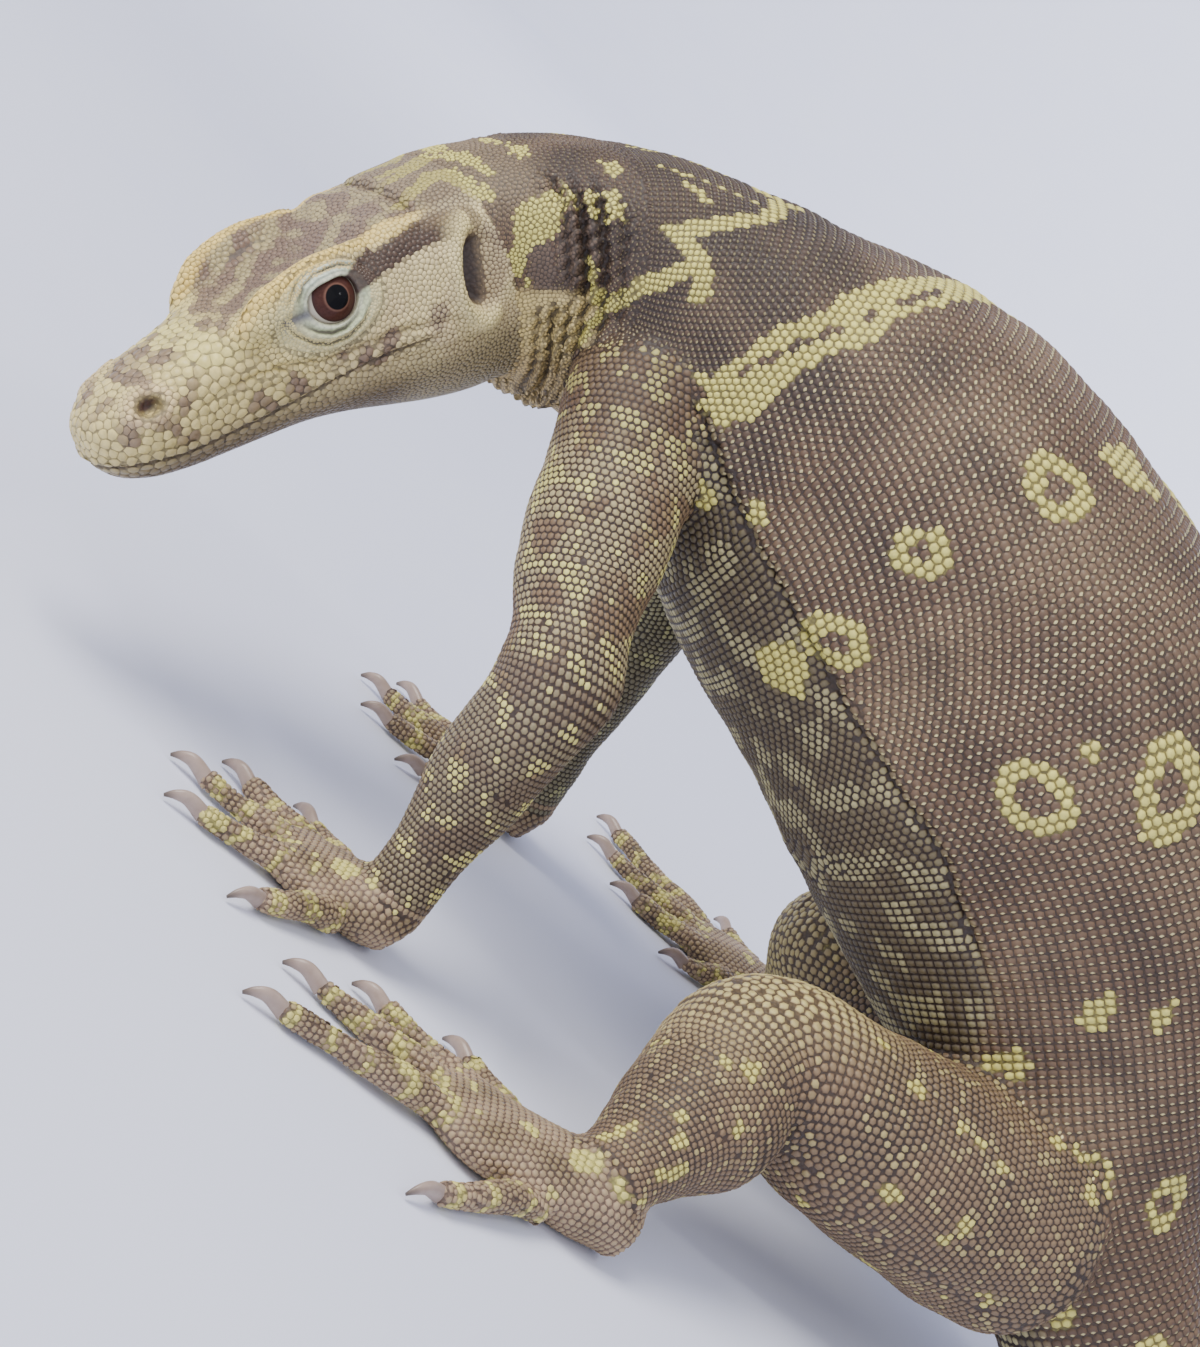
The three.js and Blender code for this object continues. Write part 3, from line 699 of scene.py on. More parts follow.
def crown_terms(q):
    """Ridges of the brows, the hollow between them, and the step at the back of the crown."""
    x, y, z = q.T
    away, place = distance_to_line(q, BROW_RIDGE)
    on_top = smooth_step(8, 11, z) * bell(y, 9.5, 5)
    return [0.7 * bell(away, 0, 1.1) * np.sin(np.clip(place, 0.04, 1) * math.pi) ** 0.5,
            bell(away, 0, 1.9) * (0.8 * bell(x, 31, 5) - 0.8 * bell(x, 49, 6)),
            -1.5 * bell(y, 0, 5.5) * bell(x, 38, 13) * (z > 4),
            on_top * (0.9 * bell(x, 53.5, 3.2) - 0.9 * bell(x, 45.5, 5))]


def back_step(q):
    x, y, z = q.T
    step = smooth_step(59.9, 60.9, x) * (1 - smooth_step(61, 70, x)) - 0.7 * bell(x, 59.7, 0.5)
    return 0.55 * step * (1 - smooth_step(8, 11, y)) * (z > 4)


def nostril_terms(q, on_side):
    rim = nostril_oval(q)
    return [0.45 * (swelling(q[:, 0], q[:, 2], *NOSE_SWELLING) * on_side),
            on_side * (0.35 * bell(rim, 1.5, 0.45) - 1.9 * (1 - smooth_step(0.45, 1.1, rim)))]


def mouth_terms(q):
    """Lips above and below the sunk line of the mouth."""
    x, _, z = q.T
    mouth = mouth_height(x)
    closed = 1 - smooth_step(50, 56, x)
    return [closed * (0.3 * bell(z, mouth + 1.1, 0.8) - 0.25 * bell(z, mouth - 1.6, 1.1)),
            -closed * 1.0 * bell(z, mouth - 0.1, 0.36)]


def crease_terms(q, on_side):
    plane = np.stack([q[:, 0], q[:, 2]], axis=1)
    for line, depth, width in HEAD_CREASES:
        away, place = distance_to_line(plane, line)
        ends = np.sin(np.clip(place, 0.03, 0.97) * math.pi) ** 0.5
        yield depth * on_side * ends * groove(away, width, 0.6, 2.2)


def ear_term(q, on_side):
    """The cup of the ear, with its rim strongest in front."""
    ear = on_side * smooth_step(9, 13, q[:, 1])
    front = 0.3 + 1.0 * (1 - smooth_step(-1.5, 2.0, q[:, 0] - EAR_PLACE[0]))
    return ear * (front * bell(ear_oval(q), 1.22, 0.25) - ear_depth(q))


def head_relief(local):
    q = folded(local)
    x, y, z = q.T
    on_side = smooth_step(3.0, 6.5, y)
    sides = [height * swelling(x, z, place, size) * on_side
             for height, place, size in HEAD_SWELLINGS]
    lift = np.zeros(len(q))
    for term in (*crown_terms(q), *sides, back_step(q), *nostril_terms(q, on_side),
                 *mouth_terms(q), *crease_terms(q, on_side), ear_term(q, on_side)):
        lift += term
    lift *= smooth_step(0.6, 1.0, lid_share(q))
    return lift - 2.7 * (1 - smooth_step(0.45, 0.92, lid_share(q)))


def side_fold_offset(s, t):
    """Distance above the fold along the flank, negative below it."""
    line = np.array(SIDE_FOLD, float)
    at = np.interp(s, line[:, 0], line[:, 1])
    return at - np.abs(t)


def spine_relief(s, t):
    round_ = np.abs(t)
    lift = np.zeros(len(s))
    place = np.stack([s, round_], axis=1)
    on_neck = s < 30
    for line, depth, width in NECK_FOLDS:
        away, share = distance_to_line(place[on_neck], line)
        ends = smooth_step(0, 0.15, share) * (1 - smooth_step(0.9, 1.0, share))
        lift[on_neck] += depth * ends * groove(away, width, 0.45, 2)
    hang = smooth_step(42, 56, round_) * smooth_step(1, 5, s) * (1 - smooth_step(14, 18, s))
    lift += hang * (1.2 + 1.1 * np.cos((s - 5.8) * 2 * math.pi / 7.0))
    above = side_fold_offset(s, t)
    window = smooth_step(40, 50, s) * (1 - smooth_step(150, 172, s))
    lift += window * 0.8 * np.exp(-np.maximum(above, 0) / 2.2) * (above > -0.4)
    lift -= window * 1.0 * bell(above, -1.0, 0.9)
    crest = smooth_step(230, 300, s) * (1 - smooth_step(660, 705, s))
    lift += crest * 0.9 * bell(t, 0, 1.3)
    wrinkles = smooth_step(22, 30, s) * (1 - smooth_step(36, 48, s)) * smooth_step(26, 36, round_)
    return lift + 0.22 * np.sin(s / 2.1 + 0.3 * np.sin(t / 5)) * wrinkles


def limb_relief(name, s, t, half):
    """Muscles, elbow and knee: front of the limb at angle 0, back of it at pi."""
    angle = np.abs(t) / half * math.pi
    front, back, flank = bell(angle, 0, 0.9), bell(angle, math.pi, 0.8), bell(angle, 1.5, 0.9)
    if name.startswith("arm"):
        lift = 0.8 * bell(s, 28, 12) * front + 0.9 * bell(s, 22, 12) * back - 0.8 * bell(s, 43, 7)
        lift = lift + 1.3 * bell(s, 51, 5) * back + 0.9 * bell(s, 63, 8) * flank
        return lift - 0.5 * bell(s, 82, 6)
    lift = 1.0 * bell(s, 58, 7) * front - 0.6 * bell(s, 50, 5) * back + 1.2 * bell(s, 72, 9) * back
    return lift - 0.7 * bell(s, 30, 18) * bell(angle, 1.7, 0.3) + 0.8 * bell(s, 34, 14) * back


def carve(mesh, body, sheets):
    points, normals = mesh_points(mesh), mesh_normals(mesh)
    at = body.find(points)
    lift = np.zeros(len(points))
    on_head = at["part"] == 0
    lift[on_head] = head_relief(at["head"][on_head])
    on_spine = at["part"] == 1
    lift[on_spine] = spine_relief(at["s"][on_spine], at["t"][on_spine])
    for number, sheet in enumerate(sheets):
        if sheet.name in LIMBS:
            here = at["part"] == number
            lift[here] = limb_relief(sheet.name, *(at[key][here] for key in ("s", "t", "half")))
    lift[~on_head] += 0.2 * waves(points[~on_head], 19, 41) + 0.07 * waves(points[~on_head], 7, 42)
    fade = at["head"][:, 0] - HEAD_LENGTH
    lift *= np.where(on_spine, smooth_step(-0.5, 3, fade), 1)
    points = points + normals * lift[:, None]
    points[:, 2] = np.maximum(points[:, 2], FLOOR_GAP)
    set_points(mesh, points)
    return body.find(mesh_points(mesh))


# Markings, with painted shade and a painted highlight

# Colours of the markings, of painted shade and of a painted highlight: red, green and blue, from 0 to
# 255
COLOURS = {
    "brown": (96, 75, 61), "dark_brown": (66, 51, 43), "taupe": (120, 99, 81),
    "yellow": (222, 216, 124), "cream": (204, 192, 142), "slate": (104, 88, 78),
    "shoulder": (52, 40, 33), "nape": (132, 116, 96), "belly": (60, 46, 38),
    "rolls": (226, 206, 146), "throat": (190, 168, 122), "painted_crease_shade": (56, 42, 35),
    "yellow_skin": (176, 166, 92), "body_dot": (236, 226, 172), "belly_dot": (196, 190, 146),
    "head": (200, 184, 142), "lip": (209, 193, 146), "snout": (222, 206, 136),
    "cheek": (190, 168, 142), "snout_plates": (226, 214, 138), "crown": (158, 146, 110),
    "mauve": (118, 96, 88), "behind_brow": (214, 196, 140), "painted_jaw_shade": (80, 65, 50),
    "round_lids": (206, 200, 156), "brow_ridge": (236, 208, 122), "wedge": (66, 46, 40),
    "ear_rim": (226, 212, 158), "ear_edge": (140, 118, 98), "ear_inside_shade": (82, 66, 62),
    "nostril_rim": (216, 190, 156), "nostril_inside_shade": (92, 62, 58), "mouth": (104, 80, 68),
    "head_dot": (224, 212, 170),
    "arm": (78, 58, 46), "inner_arm": (78, 72, 56), "arm_dot": (176, 164, 126),
    "arm_fleck": (222, 216, 136), "arm_patch": (128, 104, 82), "inner_arm_dot": (164, 166, 134),
    "arm_root_dot": (112, 92, 74), "forearm_dot": (112, 104, 90),
    "leg": (72, 55, 45), "knee": (146, 126, 98), "leg_mark": (170, 158, 88),
    "leg_dot": (158, 136, 108), "pale_leg_dot": (210, 198, 136), "paw": (160, 135, 120),
    "lid": (190, 198, 158), "outer_lid": (210, 202, 152), "upper_lid_highlight": (204, 214, 196),
    "lid_groove_shade": (86, 78, 62), "lid_edge": (216, 218, 188), "lid_line": (96, 76, 72),
    "lid_pit_shade": (92, 90, 104),
}


def linear(colour):
    """A named colour in the numbers that shaders work with."""
    c = np.asarray(COLOURS[colour], float) / 255
    return np.where(c <= 0.04045, c / 12.92, ((c + 0.055) / 1.055) ** 2.4)


def plain(colour, count):
    return np.tile(linear(colour), (count, 1))


def mix(a, b, k):
    return a + (b - a) * np.clip(k, 0, 1)[:, None]


def washed(ground, layers):
    """Lays named colours over a ground one after the other, each by its own amount."""
    for colour, amount in layers:
        ground = mix(ground, linear(colour), amount)
    return ground


def waves(points, size, seed, count=10):
    """Soft seeded noise from -1 to 1 about."""
    rng = np.random.default_rng(seed)
    ways = unit(rng.normal(size=(count, 3))) * rng.uniform(0.7, 1.5, (count, 1)) / size
    phase = rng.uniform(0, 2 * math.pi, count)
    return np.sin(points @ ways.T * 2 * math.pi + phase).sum(axis=1) / math.sqrt(count * 0.8)


def inside(s, t, outline):
    """Whether each place lies within an outline given by distances along and round."""
    outline = np.asarray(outline, float)
    odd = np.zeros(len(s), bool)
    for a, b in zip(outline, np.roll(outline, -1, axis=0)):
        crosses = (a[1] > t) != (b[1] > t)
        slope = (b[0] - a[0]) * (t - a[1]) / np.where(b[1] == a[1], 1e-9, b[1] - a[1]) + a[0]
        odd ^= crosses & (s < slope)
    return odd


# Yellow patches: outlines by distance along the spine and round from the middle of the back
PATCHES = [
    [(0, 0.6), (3.7, 0.2), (4.6, 2.1), (5.2, 7.8), (5, 9.9), (3.8, 9.5), (2.8, 6.5), (1.4, 3)],
    [(-4, 3.6), (-1, 4.6), (0.6, 6.4), (2.6, 12), (2.6, 14.6), (0.8, 15.4), (-0.6, 13.8), (-1.6, 9)],
    [(10.6, 0), (12.5, 0.5), (11.5, 4.8), (10, 6.2), (9.3, 4.3)],
    [(-0.4, 25), (2, 21.4), (3.6, 17.6), (6.9, 15.2), (10, 14), (12.2, 13.8), (12.6, 16), (11, 18.8),
     (8.8, 22), (5, 23), (2.4, 25.5), (2.4, 30.6), (0.6, 29)],
    [(12.7, 12), (14.2, 13.2), (14.4, 16.6), (12.9, 17.2)],
    [(15.5, 13.4), (17.2, 13.2), (16.6, 18.4), (15.2, 17.6)],
    [(18.6, 13), (21.2, 13), (21.3, 18), (17.8, 18.8)],
    [(20.2, 5.6), (22.4, 6.2), (22.6, 9), (20, 10)],
    [(69, -0.5), (64.6, 6.5), (61.2, 12), (57, 17), (54, 22), (52.8, 27),
     (48.6, 31.4), (47, 36), (44.6, 41), (41, 40), (43, 44.6), (53.4, 52), (55.4, 48.4),
     (55.6, 42), (57.8, 34), (62, 29.6), (63.4, 23.6), (68.4, 16.4), (72.8, 7), (76, 0)],
    [(97.5, 21.4), (97.9, 16.4), (100, 11.7), (101.6, 11.7), (103, 14.8), (107.4, 12.5),
     (107.6, 15.9), (103, 21)],
    [(64.4, 61.4), (68.4, 62.4), (72.2, 67), (69, 66.6)],
    [(56, 61), (61, 63.6), (61, 67), (56, 66)],
    [(86.9, 87.9), (89.6, 81), (95.7, 82.5), (99.6, 87.6), (94.9, 91.8)],
]
# Dark squares between the folds of the neck
DARK_PATCHES = [
    [(3.6, 22.6), (8, 22.6), (7.5, 30.6), (2.8, 30.8)],
    [(8.9, 22.9), (11.6, 18.2), (13, 17.6), (12.8, 27), (11, 30.2), (8.5, 28.4)],
    [(13.8, 17.6), (15.6, 18.6), (16.4, 28.6), (14, 29.6)],
]
# Bent stripes: places, then width
STRIPES = [
    ([(45, -2), (41.2, 9.3), (36, 14.1), (32, 16.5), (28.4, 17.9)], 2.6),
    ([(28.4, 17.9), (31.1, 19.4), (33.4, 22), (34.7, 24.5), (34.9, 27.4)], 3.2),
    ([(32, 23.2), (27.7, 26.2), (24.3, 27.6), (21.8, 29.6), (19.5, 31.6)], 3.0),
    ([(19.5, 31.6), (17.2, 32.9), (15.4, 36), (14.2, 39)], 2.2),
    ([(14.2, 25.5), (15.1, 29.1), (17.2, 32.9)], 2.2),
    ([(30.8, 8), (33.5, 10.8)], 1.6),
    ([(28, 4.5), (40, 5.6)], 0.9),
    ([(-12, 8.6), (-8, 7.2), (-3, 5.8)], 2.6),
    ([(-9, 1.4), (-4, 0.9), (1, 1.2)], 2.0),
]
# Rings of yellow scales: place along, place round, half sizes, lean, hollow share
RINGS = [
    (96.7, 32.9, 5.8, 5.2, 0.9, 0.42), (91.4, 56.3, 4.6, 4.2, 0.9, 0.35),
    (94.2, 76.2, 6.2, 4.8, 0.3, 0.4), (135.5, 61.8, 7.4, 5.2, 0.6, 0.5),
    (140.5, 41, 7.6, 5.6, -0.5, 0.42), (132, 51.6, 1.8, 1.6, 0, 0), (112, 2, 4.4, 3.6, 0, 0.4),
    (173.6, 47.5, 3.3, 2.9, 0, 0), (175.5, 36.1, 2.6, 2.2, 0, 0), (184.4, 58.3, 4.8, 4.3, 0, 0.3),
    (203, 36.9, 5, 4, 0.4, 0.45), (208.7, 21.5, 4.8, 4.2, 0.3, 0.4), (224.7, 37.4, 2.6, 2.2, 0, 0),
    (141, 14, 5.4, 4.6, 0.2, 0.42), (176, 17, 5.2, 4.6, 0, 0.4), (208, 3, 3.6, 3.4, 0, 0.2),
    (236, 22, 4.6, 4.2, 0, 0.35), (236, 42, 4.2, 3.6, 0, 0.3), (176, 2, 3, 2.4, 0, 0),
]
# How far the markings of the right side lie from a mirror image of the left side's
RIGHT_SHIFT = (2.6, 2.2)
# Brown lines and a brown spot within the yellow band
BAND_LINES = [([(66.7, 12.8), (62.7, 19.2)], 0.7), ([(56.4, 29), (49, 40)], 0.75)]
BAND_SPOT = (59.1, 24.5, 1.1)


def yellow_marks(s, t):
    """1 within the yellow markings of neck and trunk."""
    right = t > 0
    s = s + np.where(right, RIGHT_SHIFT[0] * np.sin(s / 17), 0)
    t = np.abs(t) + np.where(right, RIGHT_SHIFT[1] * np.sin(s / 23 + 1) * smooth_step(6, 14, t), 0)
    mark = np.zeros(len(s), bool)
    for outline in PATCHES:
        mark |= inside(s, t, outline)
    at = np.stack([s, t], axis=1)
    for line, width in STRIPES:
        mark |= distance_to_line(at, line)[0] < width / 2
    for place, round_, long_, wide, lean, hollow in RINGS:
        out = oval(s, t, (place, round_), (long_, wide), lean)
        mark |= (out < 1) & (out > hollow)
    brown = np.hypot(s - BAND_SPOT[0], t - BAND_SPOT[1]) < BAND_SPOT[2]
    for line, width in BAND_LINES:
        brown |= distance_to_line(at, line)[0] < width
    return mark & ~brown


def tail_marks(s, t, half):
    """Broken yellow bands round the tail."""
    wave = np.sin(2 * math.pi * (s - 262) / 38 + 0.5 * np.sin(t / 6))
    spots = np.sin(t / half * math.pi * 4 + s / 9)
    return (s > 248) & ((wave > 0.55) | ((wave > 0.05) & (spots > 0.4)))


def rosettes(s, t, half, length, count, seed, small=1.2, large=2.5):
    """Small round groups of scales at seeded places."""
    rng = np.random.default_rng(seed)
    mark = np.zeros(len(s), bool)
    for _ in range(count):
        place, turn, size = rng.uniform(0, length), rng.uniform(-1, 1), rng.uniform(small, large)
        mark |= np.hypot(s - place, t - turn * half) < size
    return mark


# Cross rows of the trunk with stronger dots: place along and half width
DOT_ROWS = [(85, 12), (118, 12), (152, 12), (36, 9), (190, 10)]


def belly_share(s, t, half):
    """1 on the belly, below the fold of the flank, and on the underside of hips and tail."""
    belly = smooth_step(-1, 3, -side_fold_offset(np.clip(s, 38, 172), t)) * (s > 34)
    return np.maximum(belly, smooth_step(0.62, 0.72, np.abs(t) / half) * (s > 150))


def belly_bars(s, t, half, p, jitter):
    """How pale each scale of the belly is, in broken bars."""
    bars = smooth_step(-0.1, 0.5, np.sin(2 * math.pi * (s - 52) / 17 + 0.6 * waves(p, 18, 5)))
    pale = smooth_step(0.55, 1.0, np.abs(t) / half)
    patches = smooth_step(0.1, 0.7, waves(p, 9, 6) + 0.9 * bars - 0.35) * (0.5 + 0.5 * pale)
    return np.clip(patches * (0.65 + 0.5 * jitter), 0, 1)


def neck_creases(s, round_):
    """Painted shade: 1 along the bottom of the neck's folds."""
    crease = np.zeros(len(s))
    near = (s > -5) & (s < 30)
    place = np.stack([s, round_], axis=1)
    for line, depth, width in NECK_FOLDS:
        away = distance_to_line(place[near], line)[0]
        crease[near] = np.maximum(crease[near], depth / 1.1 * bell(away, 0, 0.7 * width))
    return crease


def body_dots(s, round_, jitter):
    """Strength of the pale tips: more in a few cross rows and low on the flank."""
    rows = sum(bell(s, *row) for row in DOT_ROWS)
    low = smooth_step(14, 40, round_)
    strength = 0.4 + 0.6 * np.maximum(np.clip(rows, 0, 1) * (0.5 + 0.5 * low), 0.6 * low)
    return strength * ((0.35 + 0.65 * smooth_step(38, 62, s)) * (0.75 + 0.5 * jitter))


def paint_spine(at, jitter):
    s, t, half, p = at["s"], at["t"], at["half"], at["points"]
    round_ = np.abs(t)
    belly, crease = belly_share(s, t, half), neck_creases(s, round_)
    yellow = yellow_marks(s, t) | tail_marks(s, t, half)
    dark = np.logical_or.reduce([inside(s, round_, outline) for outline in DARK_PATCHES])
    nape = (1 - smooth_step(6, 15, s)) * (1 - smooth_step(13, 22, round_))
    rolls = (1 - smooth_step(14, 19, s)) * smooth_step(29.5, 32, round_)
    throat = (1 - smooth_step(22, 36, s)) * smooth_step(39, 47, round_)
    ground = washed(plain("brown", len(s)), [
        ("taupe", 0.22 + 0.4 * waves(p, 34, 3)),
        ("dark_brown", 0.95 * bell(s, 38, 30) + 0.3 * waves(p, 15, 4)),
        ("shoulder", 0.55 * bell(s, 40, 20) * (1 - smooth_step(14, 30, round_))),
        ("nape", 0.75 * nape),
        ("belly", 0.8 * belly),
        ("rolls", 0.95 * rolls),
        ("throat", 0.9 * throat),
        ("slate", 0.85 * dark),
        ("yellow_skin", yellow * (0.85 + 0.15 * jitter)),
        # painted shade darkens the bottom of the neck's folds, and keeps dots and yellow out of it
        ("painted_crease_shade", 0.85 * np.clip(crease, 0, 1)),
    ])
    yellow &= crease < 0.6
    scatter = belly_bars(s, t, half, p, jitter) * belly
    strength = body_dots(s, round_, jitter) * (1 - belly) + belly * (0.16 + 0.8 * scatter)
    strength *= 1 - 0.9 * np.maximum(rolls, throat)
    strength = np.where(dark | (crease > 0.4), 0, strength)
    strength = np.where(yellow, 0.75 + 0.25 * jitter, np.clip(strength, 0, 1))
    dot = washed(plain("body_dot", len(s)), [("belly_dot", belly), ("yellow", yellow)])
    return ground, dot, strength, np.where(yellow, 1.0, belly)


# Mauve blots of the head: place, size
HEAD_BLOTS = [
    ((5.1, 2.9, 5.0), 2.2), ((11.0, 2.0, 6.8), 3.2), ((15.5, 2.4, 7.4), 2.8), ((9.6, 9.7, 0.9), 2.2),
    ((4.8, 8.0, 1.8), 2.4), ((13.4, 9.2, -3.6), 1.6), ((25.0, 11.3, -3.6), 2.4),
    ((31.4, 13.0, -3.4), 2.2), ((26, 3, 9.4), 4.0), ((32, 3.5, 11.0), 4.2), ((40, 2.4, 12), 5.0),
    ((47, 1.2, 12.8), 4.2), ((55, 4.4, 14), 4.6), ((30.5, 8.8, 8.6), 2.4), ((42, 15.8, -3.6), 2.6),
    ((14.2, 9.6, 1.6), 1.3), ((70, 16.8, 5.4), 2.6), ((45.5, 16.4, -2.0), 2.0), ((56, 17.4, -1.8), 2.4),
]
WEDGE_LINE = [(42.4, 7.4), (46, 8.6), (50, 9.2), (54, 9.8), (58, 10.0), (62, 9.8), (66.8, 8.9)]
LID_STREAK = [(3.7, 2.1), (6.0, 2.6), (8, 2.9), (10.5, 3.1)]


def dark_wedge(q):
    """1 in the dark wedge from the corner of the eye to the top of the ear."""
    away, place = distance_to_line(q[:, [0, 2]], WEDGE_LINE)
    wedge = 1 - smooth_step(1.0 + 0.4 * place, 1.6 + 0.6 * place, away)
    back, up, _ = in_lid_plane(q)
    away, place = distance_to_line(np.stack([back, up], axis=1), LID_STREAK)
    streak = (1 - smooth_step(0.4 + 0.8 * place, 0.9 + 0.9 * place, away)) * (lid_share(q) < 1.3)
    return np.maximum(wedge, streak) * (q[:, 1] > 6)


def paint_nape(ground, at, jitter):
    """Carries the markings of the neck forward over the back of the crown."""
    x = at["head"][:, 0]
    behind = dict(at, s=x - HEAD_LENGTH)
    colours = paint_spine(behind, jitter)[0]
    edge = smooth_step(57, 63, x + 1.6 * waves(at["points"], 6, 14))
    return mix(ground, colours, edge * (1 - smooth_step(12.5, 16, np.abs(at["t"]))))


def head_blots(q, p, crown):
    """Strength of the mauve in the blots of snout, lips and crown."""
    blot = np.zeros(len(q))
    for place, size in HEAD_BLOTS:
        blot = np.maximum(blot, bell(np.linalg.norm(q - place, axis=1), 0, size))
    blot = np.maximum(blot, 0.56 * crown) + 0.3 * waves(p, 4.6, 12)
    soft = smooth_step(24, 34, q[:, 0])
    blot = smooth_step(0.22, 0.85, blot) * (1 - soft) + smooth_step(0.3, 0.75, blot) * soft
    return (0.86 + 0.06 * soft) * blot


def opening_layers(q):
    """Colours of ear, nostril and line of the mouth, with painted shade deep in the ear, in the
    nostrils and along the mouth's line.
    """
    x, y, z = q.T
    ear, at_ear = ear_oval(q), smooth_step(9, 13, y)
    nostril, at_nose = nostril_oval(q), smooth_step(3, 6.5, y)
    mouth = bell(z, mouth_height(x) - 0.1, 0.36) * (1 - smooth_step(48, 55, x))
    return [
        ("ear_rim", at_ear * 0.95 * bell(ear, 1.22, 0.3) * (x < 66.5)),
        ("ear_edge", at_ear * 0.8 * (1 - smooth_step(0.8, 1.05, ear))),
        # painted shade deep in the ear's opening
        ("ear_inside_shade", at_ear * smooth_step(1.2, 2.4, ear_depth(q))),
        ("nostril_rim", at_nose * 0.6 * bell(nostril, 1.5, 0.5)),
        # painted shade in the nostril's hole
        ("nostril_inside_shade", at_nose * (1 - smooth_step(0.5, 0.95, nostril))),
        # painted shade along the sunk line of the mouth
        ("mouth", 0.8 * mouth),
    ]


def paint_head(at, jitter):
    q, p = folded(at["head"]), at["points"]
    x, y, z = q.T
    front = (1 - smooth_step(30, 40, x)) * smooth_step(-8, -2, z)
    cheek = smooth_step(44, 52, x) * smooth_step(-14, -8, z) * (1 - smooth_step(5, 9, z))
    crown = smooth_step(24, 31, x) * smooth_step(7.5, 10, z) * (1 - smooth_step(9.8, 11.6, y))
    behind = smooth_step(9.5, 11.6, y) * smooth_step(46, 52, x) * smooth_step(9.5, 11.5, z)
    away, place = distance_to_line(q, BROW_RIDGE)
    ridge = (1 - smooth_step(1.2, 2.4, away)) * smooth_step(0.0, 0.12, place)
    wedge = dark_wedge(q)
    ground = washed(plain("head", len(q)), [
        ("lip", 0.5 + 0.4 * waves(p, 9, 11)),
        ("snout", 0.6 * front),
        ("cheek", 0.45 * cheek * smooth_step(-0.4, 0.8, waves(p, 8, 15))),
        ("snout_plates", 0.95 * bell(x, 21, 5) * smooth_step(3, 6, z)),
        ("crown", 0.85 * crown),
        ("mauve", head_blots(q, p, crown)),
        ("behind_brow", 0.7 * behind * (1 - smooth_step(60, 68, x))),
        # painted shade: the underside of the jaw and the throat below it darker, as in shadow
        ("painted_jaw_shade", 0.9 * (1 - smooth_step(-12, -3.5, z + 0.06 * (x - 45)))),
        ("round_lids", 0.6 * (1 - smooth_step(0.9, 1.2, lid_share(q))) * (z < 10)),
        ("brow_ridge", 0.98 * ridge),
        ("wedge", 0.97 * wedge * (1 - 0.4 * smooth_step(60, 66, x))),
        *opening_layers(q),
    ])
    ground = paint_nape(ground, at, jitter)
    strength = 0.35 * smooth_step(44, 54, x) * (1 - wedge) * (1 - 0.8 * crown)
    return ground, plain("head_dot", len(q)), strength, np.ones(len(q))


def paint_arm(at, jitter, side):
    s, t, half, p = at["s"], at["t"], at["half"], at["points"]
    n = len(s)
    inner = smooth_step(0.05, 0.5, side * t / half)
    fleck = waves(p, 7, 22) + 1.4 * (jitter - 0.5)
    root = (1 - smooth_step(8, 18, s + 2 * waves(p, 8, 26))) * (1 - inner)
    dot = washed(plain("arm_dot", n), [
        ("arm_fleck", smooth_step(0.5, 0.9, fleck)),
        ("arm_patch", 0.9 * smooth_step(0.0, 0.7, waves(p, 11, 25) - 0.3 * fleck)),
        ("inner_arm_dot", 0.75 * inner),
        ("arm_root_dot", 0.8 * root * (fleck < 0.6)),
        ("forearm_dot", 0.6 * smooth_step(42, 56, s) * (fleck < 0.75)),
    ])
    ground = washed(plain("arm", n), [("inner_arm", 0.85 * inner)])
    return ground, dot, (0.78 + 0.22 * jitter) * (1 - 0.4 * root), np.ones(n)


def paint_leg(at, jitter):
    s, t, half, p = at["s"], at["t"], at["half"], at["points"]
    n = len(s)
    knee = bell(s, 58, 13) * smooth_step(-0.5, 0.5, np.cos(t / half * math.pi))
    mark = rosettes(s, t, half, 105, 70, 24, 0.7, 1.8) & (knee < 0.6)
    pale = smooth_step(0.68, 0.96, jitter)
    ground = washed(plain("leg", n), [
        ("brown", 0.4 + 0.5 * waves(p, 22, 21)),
        ("knee", 0.7 * knee),
        ("leg_mark", 0.9 * mark),
    ])
    dot = washed(plain("leg_dot", n), [
        ("pale_leg_dot", np.maximum(0.8 * pale, 0.9 * knee)),
        ("yellow", mark),
    ])
    strength = np.where(mark, 0.9, np.clip(0.66 + 0.3 * pale + 0.3 * knee, 0, 1))
    return ground, dot, strength, np.where(mark, 1.0, 0.7 + 0.3 * knee)


def paint_paw(at, jitter, digit):
    s, t, half, p = at["s"], at["t"], at["half"], at["points"]
    n = len(s)
    bands = smooth_step(0.2, 0.6, np.sin(2 * math.pi * s / 6.4 + 1.2 * waves(p, 9, 32)))
    spots = rosettes(s, t, half, 30, 6, 33)
    mark = bands * (jitter > 0.3) * 0.8 if digit else spots * 0.9
    ground = washed(plain("paw", n), [("brown", 0.4 + 0.3 * waves(p, 10, 31)), ("yellow", mark)])
    dot = washed(ground, [("cream", np.full(n, 0.55))])
    return ground, dot, np.full(n, 0.45), np.ones(n)


# The markings' colours are warmed a little against the blue of the studio's light
WARMTH = np.array([1.04, 1.0, 0.86])


def paint_part(name, part, jitter):
    """The markings of one length of the body, by its name."""
    if name == "head":
        return paint_head(part, jitter)
    if name == "spine":
        return paint_spine(part, jitter)
    if name not in LIMBS:
        return paint_paw(part, jitter, "digit" in name)
    if name.startswith("arm"):
        return paint_arm(part, jitter, LIMBS[name]["side"])
    return paint_leg(part, jitter)


def paint(at, jitter, sheets):
    """Ground colour, dot colour, dot strength and dot width, the same for skin and scales."""
    n = len(at["s"])
    result = np.zeros((n, 3)), np.zeros((n, 3)), np.zeros(n), np.zeros(n)
    for number, sheet in enumerate(sheets):
        here = at["part"] == number
        if here.any():
            part = {key: value[here] for key, value in at.items()}
            for kept, new in zip(result, paint_part(sheet.name, part, jitter[here])):
                kept[here] = new
    return result[0] * WARMTH, result[1] * WARMTH, result[2], result[3]


# Scales


